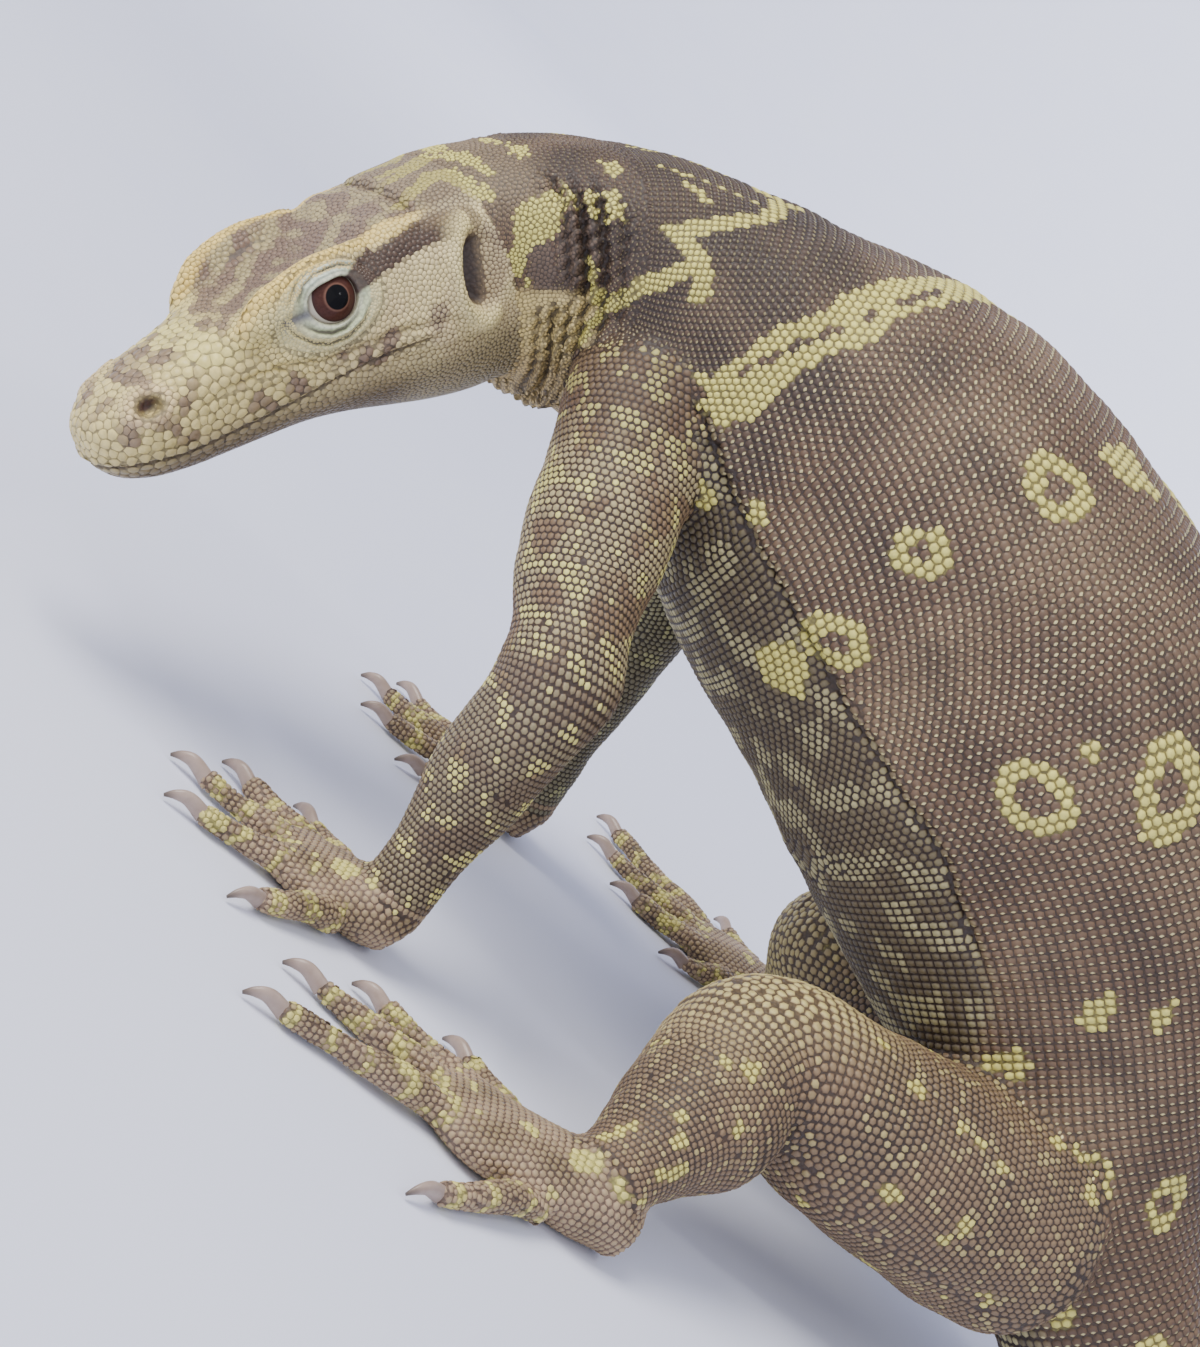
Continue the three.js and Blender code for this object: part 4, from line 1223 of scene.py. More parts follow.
# Width of a scale by the distance along each length of the body
SPACING = {
    "spine": ([24, 34, 50, 70, 240, 420, 710], [0.92, 1.12, 1.4, 1.66, 1.8, 1.72, 1.2]),
    "arm": ([0, 40, 95], [1.35, 1.25, 1.12]),
    "leg": ([0, 40, 57, 68, 82, 110], [1.36, 1.42, 1.85, 1.35, 1.12, 1.02]),
}


def scale_spacing(sheet, s):
    kind = sheet.name.split("_")[0] if sheet.name in LIMBS else sheet.name
    if kind in SPACING:
        return float(np.interp(s, *SPACING[kind]))
    return sheet.scale


# Rows lie this share of a scale apart, and scales stray from their places by a small share
ROW_SHARE = 0.9
LOOSENESS = 0.04
LIMB_LOOSENESS = 0.08
# How far along its length of the body the first row lies
FIRST_ROW = 0.4
# The rings this far before and behind a row give the direction of its scales
RING_STEP = 0.2


def scale_row(sheet, s, size, shift, loose):
    """One row of scale places round the body, with their directions."""
    ring = sheet.rings(np.array([s - RING_STEP, s, s + RING_STEP]).clip(0, sheet.length))
    t, half = ring_distances(ring)
    order = np.argsort(t[1])
    reach = int(half[1] / size)
    wanted = (np.arange(-reach - 1, reach + 1) + shift) * size
    wanted = wanted[np.abs(wanted) < half[1] - 0.3 * size]
    wanted = wanted + loose * size * RNG.normal(size=len(wanted))

    def on_ring(values):
        return np.stack([np.interp(wanted, t[1][order], values[order, k]) for k in range(3)], axis=1)

    points = on_ring(ring[1])
    around = np.gradient(points, axis=0) if len(points) > 1 else np.ones_like(points)
    return {"points": points, "along": unit(on_ring(ring[2] - ring[0])), "around": unit(around),
            "s": np.full(len(wanted), s), "t": wanted, "size": np.full(len(wanted), size)}


def joined(sets):
    return {key: np.concatenate([one[key] for one in sets]) for key in sets[0]}


def lattice(sheet, number):
    """Even rows of scale places round one length of the body, each row half a scale on."""
    loose = LIMB_LOOSENESS if sheet.name != "spine" else LOOSENESS
    rows, s = [], FIRST_ROW
    while s < sheet.length - RING_STEP:
        size = scale_spacing(sheet, s)
        rows.append(scale_row(sheet, s, size, 0.5 * (len(rows) % 2), loose))
        s += size * ROW_SHARE
    places = joined(rows)
    places["part"] = np.full(len(places["s"]), number)
    return places


class Skin:
    """The finished skin, for finding the nearest place on it."""

    def __init__(self, mesh):
        self.points, self.normals = mesh_points(mesh), mesh_normals(mesh)
        self.faces = [tuple(p.vertices) for p in mesh.polygons]
        self.tree = BVHTree.FromPolygons([tuple(p) for p in self.points], self.faces)
        self.face_normals = unit(np.array([self.normals[list(f)].sum(axis=0) for f in self.faces]))

    def nearest(self, points):
        places, _, faces, away = zip(*(self.tree.find_nearest(p) for p in points))
        return np.array(places), self.face_normals[np.array(faces)], np.array(away)


# Fine scales without rows cover the head and this much of the neck
FINE_END = 25.0
# Width of the scales along the lips
LIP_SCALE = 1.7


def head_scale_size(local):
    q = folded(local)
    x, y, z = q.T
    size = np.interp(x, [0, 4, 12, 24, 34, 44, 66, 76, 95],
                     [1.35, 1.55, 1.6, 1.4, 1.05, 0.8, 0.74, 0.76, 0.88])
    size += 0.6 * bell(x, 20, 4.2) * smooth_step(3, 5.5, z) * (y > 3)
    size = np.where((x > 25) & (x < 62) & (y < 9.5) & (z > 6), 0.88, size)
    size = np.where(z < -9, np.clip(size, 0, 1.0), size)
    size = np.where((x > 71) & (x < 93) & (z < 2), 0.64, size)
    size = np.where(lid_share(q) < 1.3, 0.72, size)
    size = np.where((ear_oval(q) < 1.5) & (y > 9), 0.62, size)
    return np.where((nostril_oval(q) < 2.2) & (y > 3), 0.85, size)


def in_opening(local):
    """Whether places lie in the line of the mouth, in a nostril or in an ear."""
    q = folded(local)
    mouth = mouth_height(q[:, 0])
    slit = (np.abs(q[:, 2] - mouth) < 0.26) & (q[:, 0] < 53)
    nostril = (nostril_oval(q) < 1.0) & (q[:, 1] > 4)
    return slit | nostril | ((ear_depth(q) > 1.4) & (q[:, 1] > 9))


# Scales are sorted into cubes of this width, so that only near ones are compared
CELL = 2.4
NEIGHBOUR_CELLS = list(itertools.product((-1, 0, 1), repeat=3))


def spaced(points, sizes, taken=(), taken_sizes=(), limit=1.0):
    """Keeps each point that is a scale's width from all before it."""
    cells = {}

    def cell_of(p):
        return int(p[0] // CELL), int(p[1] // CELL), int(p[2] // CELL)

    def crowded(p, size, cell):
        for dx, dy, dz in NEIGHBOUR_CELLS:
            for x, y, z, other in cells.get((cell[0] + dx, cell[1] + dy, cell[2] + dz), ()):
                need = (size + other) * 0.5 * limit
                if (x - p[0]) ** 2 + (y - p[1]) ** 2 + (z - p[2]) ** 2 < need * need:
                    return True
        return False

    for p, size in zip(taken, taken_sizes):
        cells.setdefault(cell_of(p), []).append((*p, size))
    kept = []
    for number, (p, size) in enumerate(zip(points.tolist(), sizes.tolist())):
        cell = cell_of(p)
        if not crowded(p, size, cell):
            cells.setdefault(cell, []).append((*p, size))
            kept.append(number)
    return np.array(kept, dtype=int)


def random_places(skin, faces, each):
    """Seeded places scattered over some faces of the skin."""
    corners = np.array([[f[0], f[1], f[2], f[-1]] for f in (skin.faces[i] for i in faces)])
    first, second, third, last = skin.points[np.repeat(corners, each, axis=0)].transpose(1, 0, 2)
    a, b = RNG.random((len(first), 1)), RNG.random((len(first), 1))
    points = (first * (1 - a) + second * a) * (1 - b) + (last * (1 - a) + third * a) * b
    return points[RNG.permutation(len(points))]


def labial_places():
    """Rows of lip scales above and below the mouth."""
    rows = []
    for offset, gap in ((1.15, 1.9), (-1.3, 2.0), (2.75, 2.0)):
        x = np.arange(2.0, 50.0, gap)
        z = mouth_height(x) + offset
        sizes = rows_at(HEAD, head_index(x))
        height = np.where(z > 0, sizes[:, 2], -sizes[:, 3])
        y = sizes[:, 1] * np.clip(1 - np.abs(z / height) ** 2.2, 0, 1) ** (1 / 2.2)
        rows += [from_head(np.stack([x, side * y, z], axis=1)) for side in (-1, 1)]
    return np.vstack(rows)


def ring_ways(across, along, turns):
    """Directions from the middle of each scale, one for each turn."""
    return (across[:, None] * np.cos(turns)[None, :, None]
            + along[:, None] * np.sin(turns)[None, :, None])


def relaxed(points, sizes, skin, held, rounds=3):
    """Moves scales to the middle of their own cells, so that they lie evenly; the first stay."""
    for _ in range(rounds):
        points, normals, _ = skin.nearest(points)
        ways = unit(np.cross(normals, HEAD_BACK))
        at = {"points": points, "normal": normals, "along": ways, "size": sizes}
        radii, across, along, turns = cell_radii(at, 8, cap=1.2)
        weight = (radii ** 3)[:, :, None] / 3
        area = (radii ** 2).sum(axis=1)[:, None] / 2
        off = (weight * ring_ways(across, along, turns)).sum(axis=1) / area
        off[:held] = 0
        points = points + 0.8 * off
    return points


def rowed_scales(sheets, skin):
    """Scales in rows on the trunk, tail and limbs, laid on the skin."""
    rows = joined([lattice(sheet, n) for n, sheet in enumerate(sheets) if sheet.name != "head"])
    rows["points"], rows["normal"], away = skin.nearest(rows["points"])
    outward = unit(np.cross(rows["around"], rows["along"]))
    agree = np.abs((rows["normal"] * outward).sum(axis=1))
    keep = (away < 2.0) & (agree > 0.3)
    keep &= ~((rows["part"] == 1) & (rows["s"] < FINE_END))
    order = np.where(keep)[0]
    order = order[np.argsort(away[keep] > 0.9, kind="stable")]
    kept = order[spaced(rows["points"][order], rows["size"][order], limit=0.66)]
    return {key: rows[key][kept] for key in ("points", "normal", "along", "size")}


def lid_scales(lids):
    """Fine grains on the outer part of the lids."""
    chosen = []
    for points, normals, share in lids:
        there = RNG.permutation(np.where((share > 0.52) & (share < 0.97))[0])
        sizes = np.interp(share[there], [0.52, 0.95], [0.36, 0.74])
        kept = spaced(points[there], sizes, limit=0.84)
        chosen.append((points[there][kept], normals[there][kept], sizes[kept]))
    return [np.concatenate(values) for values in zip(*chosen)]


def fine_scales(fine_faces, skin, taken, taken_sizes):
    """Scales of head and neck: rows along the lips, the rest spread evenly without rows."""
    lips, _, _ = skin.nearest(labial_places())
    candidates = np.vstack([lips, random_places(skin, fine_faces, 3)])
    local = to_head(candidates)
    sizes = head_scale_size(local)
    sizes[:len(lips)] = LIP_SCALE
    keep = ~(in_opening(local) | (lid_share(folded(local)) < 0.98))
    is_lip = (np.arange(len(keep)) < len(lips))[keep]
    candidates, sizes = candidates[keep], sizes[keep]
    kept = spaced(candidates, sizes, taken.tolist(), taken_sizes.tolist(), 0.84)
    held = int(is_lip[kept].sum())
    return relaxed(candidates[kept], sizes[kept], skin, held), sizes[kept]


def gap_scales(faces, skin, points, sizes):
    """Scales for the places that the rows leave bare."""
    fill = random_places(skin, faces, 1)
    tree = search_tree(points)
    _, near, away = zip(*(tree.find(p) for p in fill))
    fill_sizes = sizes[np.array(near)]
    bare = np.array(away) > 0.86 * fill_sizes
    fill, fill_sizes = fill[bare], fill_sizes[bare]
    kept = spaced(fill, fill_sizes, limit=0.9)
    return fill[kept], fill_sizes[kept]


def scale_height(at):
    """How tall the scales stand: lower on the head and in the neck's folds, keeled on the nape."""
    on_spine = at["part"] == 1
    neck = on_spine * (1 - smooth_step(30, 60, at["s"]))
    folds = on_spine * (1 - smooth_step(20, 26, at["s"])) * smooth_step(12, 20, np.abs(at["t"]))
    return np.where(at["part"] == 0, 0.66 * np.clip(1.0 / at["size"], 0.42, 1),
                    1.0 + 0.7 * neck * bell(at["t"], 0, 7) - 0.5 * folds)


def all_scales(sheets, skin, body, at_skin, lids):
    """The place, directions, size and part of every scale."""
    rows = rowed_scales(sheets, skin)
    first = np.array([face[0] for face in skin.faces])
    part, s = at_skin["part"][first], at_skin["s"][first]
    fine = (part == 0) | ((part == 1) & (s < FINE_END))
    grains, grain_normals, grain_sizes = lid_scales(lids)
    near_neck = to_head(rows["points"])[:, 0] < HEAD_LENGTH + 40
    taken = np.vstack([grains, rows["points"][near_neck]])
    taken_sizes = np.concatenate([grain_sizes, rows["size"][near_neck]])
    head, head_sizes = fine_scales(np.where(fine)[0], skin, taken, taken_sizes)
    fill, fill_sizes = gap_scales(np.where(~fine)[0], skin, np.vstack([rows["points"], head]),
                                  np.concatenate([rows["size"], head_sizes]))
    place, normal, _ = skin.nearest(np.vstack([head, fill]))
    points = np.vstack([rows["points"], place, grains])
    at = body.find(points)
    near = np.array([body.tree.find(p)[1] for p in points[len(rows["size"]):]])
    at["normal"] = np.vstack([rows["normal"], normal, grain_normals])
    at["along"] = np.vstack([rows["along"], body.along[near]])
    at["size"] = np.concatenate([rows["size"], head_sizes, fill_sizes, grain_sizes])
    at["part"][len(points) - len(grains):] = 0
    at["tall"] = scale_height(at)
    return at


def cell_radii(at, sides, neighbours=11, cap=0.72):
    """How far each scale reaches each way before it meets its neighbours."""
    points, normals = at["points"], at["normal"]
    across = unit(np.cross(normals, at["along"]))
    along = np.cross(across, normals)
    tree = search_tree(points)
    found = np.array([[hit[1] for hit in tree.find_n(p, neighbours)] for p in points])[:, 1:]
    off = points[found] - points[:, None]
    a, b = ((off * way[:, None]).sum(axis=2) for way in (across, along))
    turns = (np.arange(sides) + 0.5) * 2 * math.pi / sides
    facing = np.cos(turns[None, None] - np.arctan2(b, a)[:, :, None])
    reach = (np.hypot(a, b) / 2)[:, :, None]
    limit = np.where(facing > 0.2, reach / np.maximum(facing, 0.2), 9.0)
    radii = np.minimum(limit.min(axis=1), at["size"][:, None] * cap)
    return radii, across, along, turns


def clipped(at, radii, across, along, turns):
    """Draws back the scales of the head from the mouth's line, the nostrils and the ears."""
    head = np.where(at["part"] == 0)[0]
    ways = ring_ways(across[head], along[head], turns)
    limit = np.ones((len(head), len(turns)))
    for share in (1.0, 0.85, 0.7, 0.55, 0.4, 0.25):
        ends = at["points"][head][:, None] + ways * (radii[head] * share)[:, :, None]
        shut = in_opening(to_head(ends.reshape(-1, 3))).reshape(limit.shape)
        limit = np.where(shut, share - 0.12, limit)
    radii[head] *= limit
    return radii, across, along, turns


# A scale of this size has the full height of its profile
FULL_SCALE = 1.7
# Each scale's patch on the map for baking reaches this far from its place
PATCH_REACH = 0.0015


def scale_shapes(at, chosen, cells, profile):
    """Points of each scale, rings from the sunk edge up and then its middle, and their places."""
    radii, across, along, turns = cells
    sides, count = len(turns), len(chosen)
    points, normals = at["points"][chosen], at["normal"][chosen]
    ways = ring_ways(across[chosen], along[chosen], turns)
    tall = (at["tall"][chosen] * at["size"][chosen] / FULL_SCALE)[:, None]
    per = (len(profile) - 1) * sides + 1
    verts, rim, patch = np.empty((count, per, 3)), np.zeros((count, per)), np.zeros((count, per, 2))
    for number, (share, height, edge) in enumerate(profile[:-1]):
        ring = slice(number * sides, (number + 1) * sides)
        verts[:, ring] = points[:, None] + ways * (radii[chosen] * share)[:, :, None]
        verts[:, ring] += normals[:, None] * (height * tall)[:, :, None]
        rim[:, ring] = edge
        patch[:, ring] = np.stack([np.cos(turns), np.sin(turns)], axis=1) * share
    verts[:, -1] = points + normals * profile[-1][1] * tall
    verts[..., 2] = np.maximum(verts[..., 2], FLOOR_GAP)
    return verts, rim, patch


def scale_faces(count, sides, rings):
    """Triangles of each scale: bands between its rings, and a fan to its middle."""
    per = rings * sides + 1
    here = np.arange(sides)
    after = (here + 1) % sides
    faces = []
    for low in range(0, (rings - 1) * sides, sides):
        high = low + sides
        faces.append(np.stack([low + here, low + after, high + after], axis=1))
        faces.append(np.stack([low + here, high + after, high + here], axis=1))
    last = (rings - 1) * sides
    faces.append(np.stack([last + here, last + after, np.full(sides, per - 1)], axis=1))
    return (np.vstack(faces)[None] + (np.arange(count) * per)[:, None, None]).reshape(-1, 3)


def triangle_mesh(name, points, faces):
    mesh = bpy.data.meshes.new(name)
    mesh.vertices.add(len(points))
    mesh.vertices.foreach_set("co", ((points + CENTRE_SHIFT) * MM).ravel())
    mesh.loops.add(faces.size)
    mesh.loops.foreach_set("vertex_index", faces.ravel())
    mesh.polygons.add(len(faces))
    mesh.polygons.foreach_set("loop_start", np.arange(0, faces.size, 3))
    mesh.polygons.foreach_set("loop_total", np.full(len(faces), 3))
    mesh.update(calc_edges=True)
    return mesh


def on_map(values):
    """Distances along or round the body, fitted between 0 and 1."""
    return (values - values.min()) / max(np.ptp(values), 1) * 0.98 + 0.01


def build_coat(name, at, chosen, colours, cells, profile, slot, material):
    """One joined mesh of many scales, with their markings and their places on the baking map."""
    verts, rim, patch = scale_shapes(at, chosen, cells, profile)
    faces = scale_faces(len(chosen), len(cells[-1]), len(profile) - 1)
    mesh = triangle_mesh(name, verts.reshape(-1, 3), faces)
    ground, dot, strength, wide = (np.repeat(v[chosen], rim.shape[1], axis=0) for v in colours)
    add_colour(mesh, "ground", ground)
    add_colour(mesh, "dot", dot)
    for key, values in (("dot_strength", strength), ("dot_wide", wide), ("rim", rim),
                        ("aside", patch[..., 0]), ("behind", patch[..., 1])):
        add_value(mesh, key, values.ravel())
    place = np.stack([on_map(at[key][chosen]) for key in ("s", "t")], axis=1)
    spots = (place[:, None] + patch * PATCH_REACH).reshape(-1, 2)
    mesh.uv_layers.new(name="OFBake").data.foreach_set("uv", spots[faces.ravel()].ravel())
    mesh.materials.append(material)
    add_piece(name, mesh)


def add_colour(mesh, name, colours):
    attribute = mesh.color_attributes.new(name, "FLOAT_COLOR", "POINT")
    values = np.ones((len(colours), 4))
    values[:, :3] = colours
    attribute.data.foreach_set("color", values.ravel())


def add_value(mesh, name, values):
    attribute = mesh.attributes.new(name, "FLOAT", "POINT")
    attribute.data.foreach_set("value", np.asarray(values, float))


# Materials


def node(tree, kind, **inputs):
    made = tree.nodes.new(kind)
    for key, value in inputs.items():
        made.inputs[key].default_value = value
    return made


def new_material(name, roughness, specular=0.5):
    material = bpy.data.materials.new(name)
    material.use_nodes = True
    tree = material.node_tree
    shader = tree.nodes["Principled BSDF"]
    shader.inputs["Roughness"].default_value = roughness
    shader.inputs["Specular IOR Level"].default_value = specular
    return material, tree, shader


def read(tree, name, output="Fac"):
    """What a mesh keeps at each of its points under this name."""
    made = tree.nodes.new("ShaderNodeAttribute")
    made.attribute_name = name
    return made.outputs[output]


def textured(tree, kind, **inputs):
    """A pattern that reads places on the object itself."""
    made = node(tree, kind, **inputs)
    place = tree.nodes.new("ShaderNodeTexCoord")
    tree.links.new(place.outputs["Object"], made.inputs["Vector"])
    return made


def finished(tree, shader, colour, height, strength, distance, invert=False):
    """Gives the shader its colour, and bumps from a pattern's heights."""
    tree.links.new(colour, shader.inputs["Base Color"])
    bump = node(tree, "ShaderNodeBump", Strength=strength, Distance=distance)
    bump.invert = invert
    tree.links.new(height, bump.inputs["Height"])
    tree.links.new(bump.outputs[0], shader.inputs["Normal"])


def curve_between(tree, source, low, high, from_value=0.0, to_value=1.0):
    made = tree.nodes.new("ShaderNodeMapRange")
    made.interpolation_type = "SMOOTHSTEP"
    for number, value in enumerate((low, high, from_value, to_value), 1):
        made.inputs[number].default_value = value
    tree.links.new(source, made.inputs[0])
    return made.outputs[0]


def blended(tree, first, second, factor, kind="MIX"):
    made = tree.nodes.new("ShaderNodeMix")
    made.data_type = "RGBA"
    made.blend_type = kind
    for socket, value in ((made.inputs[6], first), (made.inputs[7], second), (made.inputs[0], factor)):
        if isinstance(value, bpy.types.NodeSocket):
            tree.links.new(value, socket)
        else:
            socket.default_value = value
    return made.outputs[2]


def multiplied(tree, first, second):
    made = tree.nodes.new("ShaderNodeMath")
    made.operation = "MULTIPLY"
    tree.links.new(first, made.inputs[0])
    tree.links.new(second, made.inputs[1])
    return made.outputs[0]


EDGE_COLOUR = (0.032, 0.020, 0.014, 1)
# Place of a scale's pale tip, aside and behind, as a share of the scale
TIP_PLACE = (0, 0.78, 0)


def joined_values(tree, kind, values):
    made = tree.nodes.new(kind)
    for socket, value in zip(made.inputs, values):
        tree.links.new(value, socket)
    return made.outputs[0]


def tip_share(tree):
    """1 at the pale tip of each scale."""
    on_scale = joined_values(tree, "ShaderNodeCombineXYZ", [read(tree, "aside"), read(tree, "behind")])
    from_tip = tree.nodes.new("ShaderNodeVectorMath")
    from_tip.operation = "DISTANCE"
    tree.links.new(on_scale, from_tip.inputs[0])
    from_tip.inputs[1].default_value = TIP_PLACE
    return curve_between(tree, from_tip.outputs["Value"], 0.6, 0.34)


def coat_material(name, roughness, edge_dark):
    """Scales in their ground colour with a pale dot, at the tip or all over, and a dark edge."""
    material, tree, shader = new_material(name, roughness)
    dot = read(tree, "dot", "Color")
    strength, rim, wide = (read(tree, key) for key in ("dot_strength", "rim", "dot_wide"))
    tip = multiplied(tree, tip_share(tree), strength)
    spot = multiplied(tree, curve_between(tree, rim, 0.78, 0.34), strength)
    narrow = multiplied(tree, tip, curve_between(tree, wide, 0.6, 0.4))
    colour = blended(tree, read(tree, "ground", "Color"), dot, multiplied(tree, spot, wide))
    colour = blended(tree, colour, dot, narrow)
    edge = multiplied(tree, curve_between(tree, rim, 0.6, 1.0, 0.0, edge_dark),
                      curve_between(tree, narrow, 0.0, 1.0, 1.0, 0.1))
    colour = blended(tree, colour, EDGE_COLOUR, edge)
    grain = textured(tree, "ShaderNodeTexNoise", Scale=900.0, Detail=3.0).outputs["Fac"]
    shade = curve_between(tree, grain, 0.2, 0.8, 0.82, 1.12)
    grey = joined_values(tree, "ShaderNodeCombineColor", [shade] * 3)
    colour = blended(tree, colour, grey, 1.0, "MULTIPLY")
    rough = curve_between(tree, grain, 0.3, 0.7, roughness - 0.08, roughness + 0.1)
    tree.links.new(rough, shader.inputs["Roughness"])
    finished(tree, shader, colour, grain, 0.25, 0.0002)
    return material


def pebbled_material(name, roughness, scale, dark_between, dark_share, dark_colour, bumps):
    """Soft skin of tiny pebbles in the painted colour, darker between them."""
    material, tree, shader = new_material(name, roughness)
    cells = textured(tree, "ShaderNodeTexVoronoi", Scale=scale).outputs["Distance"]
    dark = curve_between(tree, cells, *dark_between, 0.0, dark_share)
    colour = blended(tree, read(tree, "ground", "Color"), dark_colour, dark)
    finished(tree, shader, colour, cells, *bumps, invert=True)
    return material


def skin_material():
    return pebbled_material("skin_between_scales", 0.55, 1500.0, (0.2, 0.75), 0.5,
                            (0.03, 0.022, 0.018, 1), (0.5, 0.0003))


def lid_material():
    return pebbled_material("lid_skin", 0.42, 1900.0, (0.35, 0.8), 0.3,
                            (0.06, 0.05, 0.045, 1), (0.35, 0.0002))


# Eyes: a polished ball with iris and pupil, and folded lids round it

GAZE = unit(np.array([0.0, 1.0, 0.29]))
PUPIL = 1.9
IRIS = 3.6
EYE_RINGS = 48
EYE_SIDES = 64
# Value of places on the eyeball that lie behind it, far out from the pupil
BEHIND_EYE = 9.0


def eye_material():
    """A dark red iris with a paler ring round the black pupil, under a thin clear coat."""
    material, tree, shader = new_material("eyeball", 0.4, 0.05)
    out = read(tree, "from_pupil")
    grain = textured(tree, "ShaderNodeTexNoise", Scale=2600.0, Detail=4.0).outputs["Fac"]
    colour = blended(tree, (0.035, 0.012, 0.009, 1), (0.09, 0.034, 0.024, 1), grain)
    for tint, *shares in (
        ((0.2, 0.1, 0.068, 1), PUPIL + 0.05, PUPIL + 0.45, 0.7, 0.0),
        ((0.05, 0.022, 0.018, 1), IRIS - 0.4, IRIS - 0.05),
        ((0.52, 0.47, 0.36, 1), IRIS, IRIS + 0.12),
        ((0.003, 0.003, 0.004, 1), PUPIL + 0.1, PUPIL - 0.1),
    ):
        colour = blended(tree, colour, tint, curve_between(tree, out, *shares))
    tree.links.new(colour, shader.inputs["Base Color"])
    shader.inputs["Coat Weight"].default_value = 0.16
    shader.inputs["Coat Roughness"].default_value = 0.03
    return material


def add_eye(side, node_name, material):
    turned = np.array([1, side, 1])
    gaze = unit(GAZE * turned)
    level = unit(np.cross(gaze, [0, 0, 1.0]))
    upright = np.cross(level, gaze)
    lat = np.repeat((np.arange(EYE_RINGS) + 0.35) / EYE_RINGS * math.pi, EYE_SIDES)
    lon = np.tile(np.arange(EYE_SIDES) * 2 * math.pi / EYE_SIDES, EYE_RINGS)
    out = EYE_RADIUS * np.sin(lat)
    bulge = 0.35 * np.exp(-(out / 3.4) ** 2) * (np.cos(lat) > 0)
    depth = EYE_RADIUS * np.cos(lat) + bulge
    local = EYE * turned + gaze * depth[:, None]
    local = local + level * (out * np.cos(lon))[:, None]
    local = local + upright * (out * np.sin(lon))[:, None]
    points, faces = closed_grid(from_head(local), EYE_RINGS, EYE_SIDES)
    if side > 0:
        faces = [tuple(reversed(f)) for f in faces]
    mesh = new_mesh(node_name.replace("eye", "eyeball"), points, faces)
    from_pupil = np.where(np.cos(lat) > 0, out, BEHIND_EYE)
    add_value(mesh, "from_pupil", np.concatenate([from_pupil, [0.0, BEHIND_EYE]]))
    mesh.materials.append(material)
    add_piece(mesh.name, mesh, [node_name])


def lid_edge(angle):
    """Outline of the eye's opening: a flat upper lid over a round lower one."""
    wide, top, bottom = LID_OPENING
    c, s = np.cos(angle), np.sin(angle)
    squareness = np.where(s > 0, 2.7, 2.0)
    height = np.where(s > 0, top, bottom) * round_power(s, squareness)
    return np.stack([wide * round_power(c, squareness), height], axis=1)


def creased(places, lines):
    """Height of a folded surface: a groove along each line with a roll on each side of it."""
    height = np.zeros(len(places))
    for line, depth, width in lines:
        away, share = distance_to_line(places, line)
        ends = np.sin(np.clip(share, 0.02, 0.98) * math.pi) ** 0.4
        height += depth * ends * groove(away, width, 0.55, 2.1)
    return height


LID_RINGS = 60
LID_SIDES = 160
# Rays from outside the lids find the skin under them
RAY_START = 9.0
RAY_LENGTH = 30.0
NO_SKIN = -3.0


def depth_under(skin, flat, outward):
    """Height of the skin under each place of a flat sheet, far below where there is none."""
    start = flat + outward * RAY_START
    hits = [skin.tree.ray_cast(tuple(p), tuple(-outward), RAY_LENGTH)[0] for p in start]
    return np.array([NO_SKIN if hit is None else (np.array(hit) - f) @ outward
                     for hit, f in zip(hits, flat)])


def lid_points(side, skin):
    """The folded lids as rings of points from the eye's opening out to brow and cheek."""
    share = np.repeat(np.linspace(0, 1, LID_RINGS), LID_SIDES)
    angle = np.tile(np.arange(LID_SIDES) * 2 * math.pi / LID_SIDES, LID_RINGS)
    inner = lid_edge(angle)
    outer = np.array(LID_OUTER_PLACE) + np.stack([np.cos(angle), np.sin(angle)], axis=1) * LID_OUTER
    places = inner + (outer - inner) * share[:, None]
    turned = np.array([1, side, 1])
    axis, back, up, middle = (v * turned for v in (LID_AXIS, LID_BACK, LID_UP, LID_MIDDLE))
    flat = from_head(middle + back * places[:, :1] + up * places[:, 1:])
    outward = axis @ HEAD_BASIS
    under = depth_under(skin, flat, outward)
    start = np.sqrt(EYE_RADIUS ** 2 - np.hypot(*inner.T) ** 2) - EYE_RADIUS + 0.3
    rim = under.reshape(LID_RINGS, LID_SIDES)[-4]
    rim = np.mean([np.roll(rim, k) for k in range(-4, 5)], axis=0)
    end = np.tile(rim, LID_RINGS)
    height = start + (end - start) * smooth_step(0, 1, share) + 0.45 * np.sin(share * math.pi)
    from_edge = np.linalg.norm(places - inner, axis=1)
    height += 0.3 * bell(from_edge, 0.5, 0.4) - 0.9 * bell(from_edge, 0, 0.15)
    height += creased(places, LID_CREASES) * smooth_step(0.02, 0.1, share)
    height -= 0.5 * bell(distance_to_line(places, LID_PIT)[0], 0, 0.8)
    height = np.maximum(height, under + 0.12 * (share < 0.97))
    height = height - 0.7 * smooth_step(0.92, 1.0, share)
    return flat + outward * height[:, None], places, share, from_edge, outward


def lid_colours(points, places, from_edge):
    upper = smooth_step(2.6, 4.2, places[:, 1]) * (1 - smooth_step(2.4, 3.4, from_edge))
    folds = np.clip(-3.0 * creased(places, LID_CREASES), 0, 1)
    pit = distance_to_line(places, LID_PIT)[0]
    return washed(plain("lid", len(places)), [
        ("outer_lid", 0.9 * smooth_step(1.2, 3.4, from_edge)),
        # painted highlight along the upper lid's roll near the opening
        ("upper_lid_highlight", 0.7 * upper),
        # painted shade in the lids' creases
        ("lid_groove_shade", 0.9 * folds),
        ("lid_edge", 0.8 * bell(from_edge, 0.7, 0.35)),
        ("lid_line", bell(from_edge, 0, 0.3)),
        # painted shade in the pit at the front corner of the eye
        ("lid_pit_shade", 0.85 * bell(pit, 0, 1.1)),
        ("wedge", 0.95 * dark_wedge(folded(to_head(points)))),
    ])


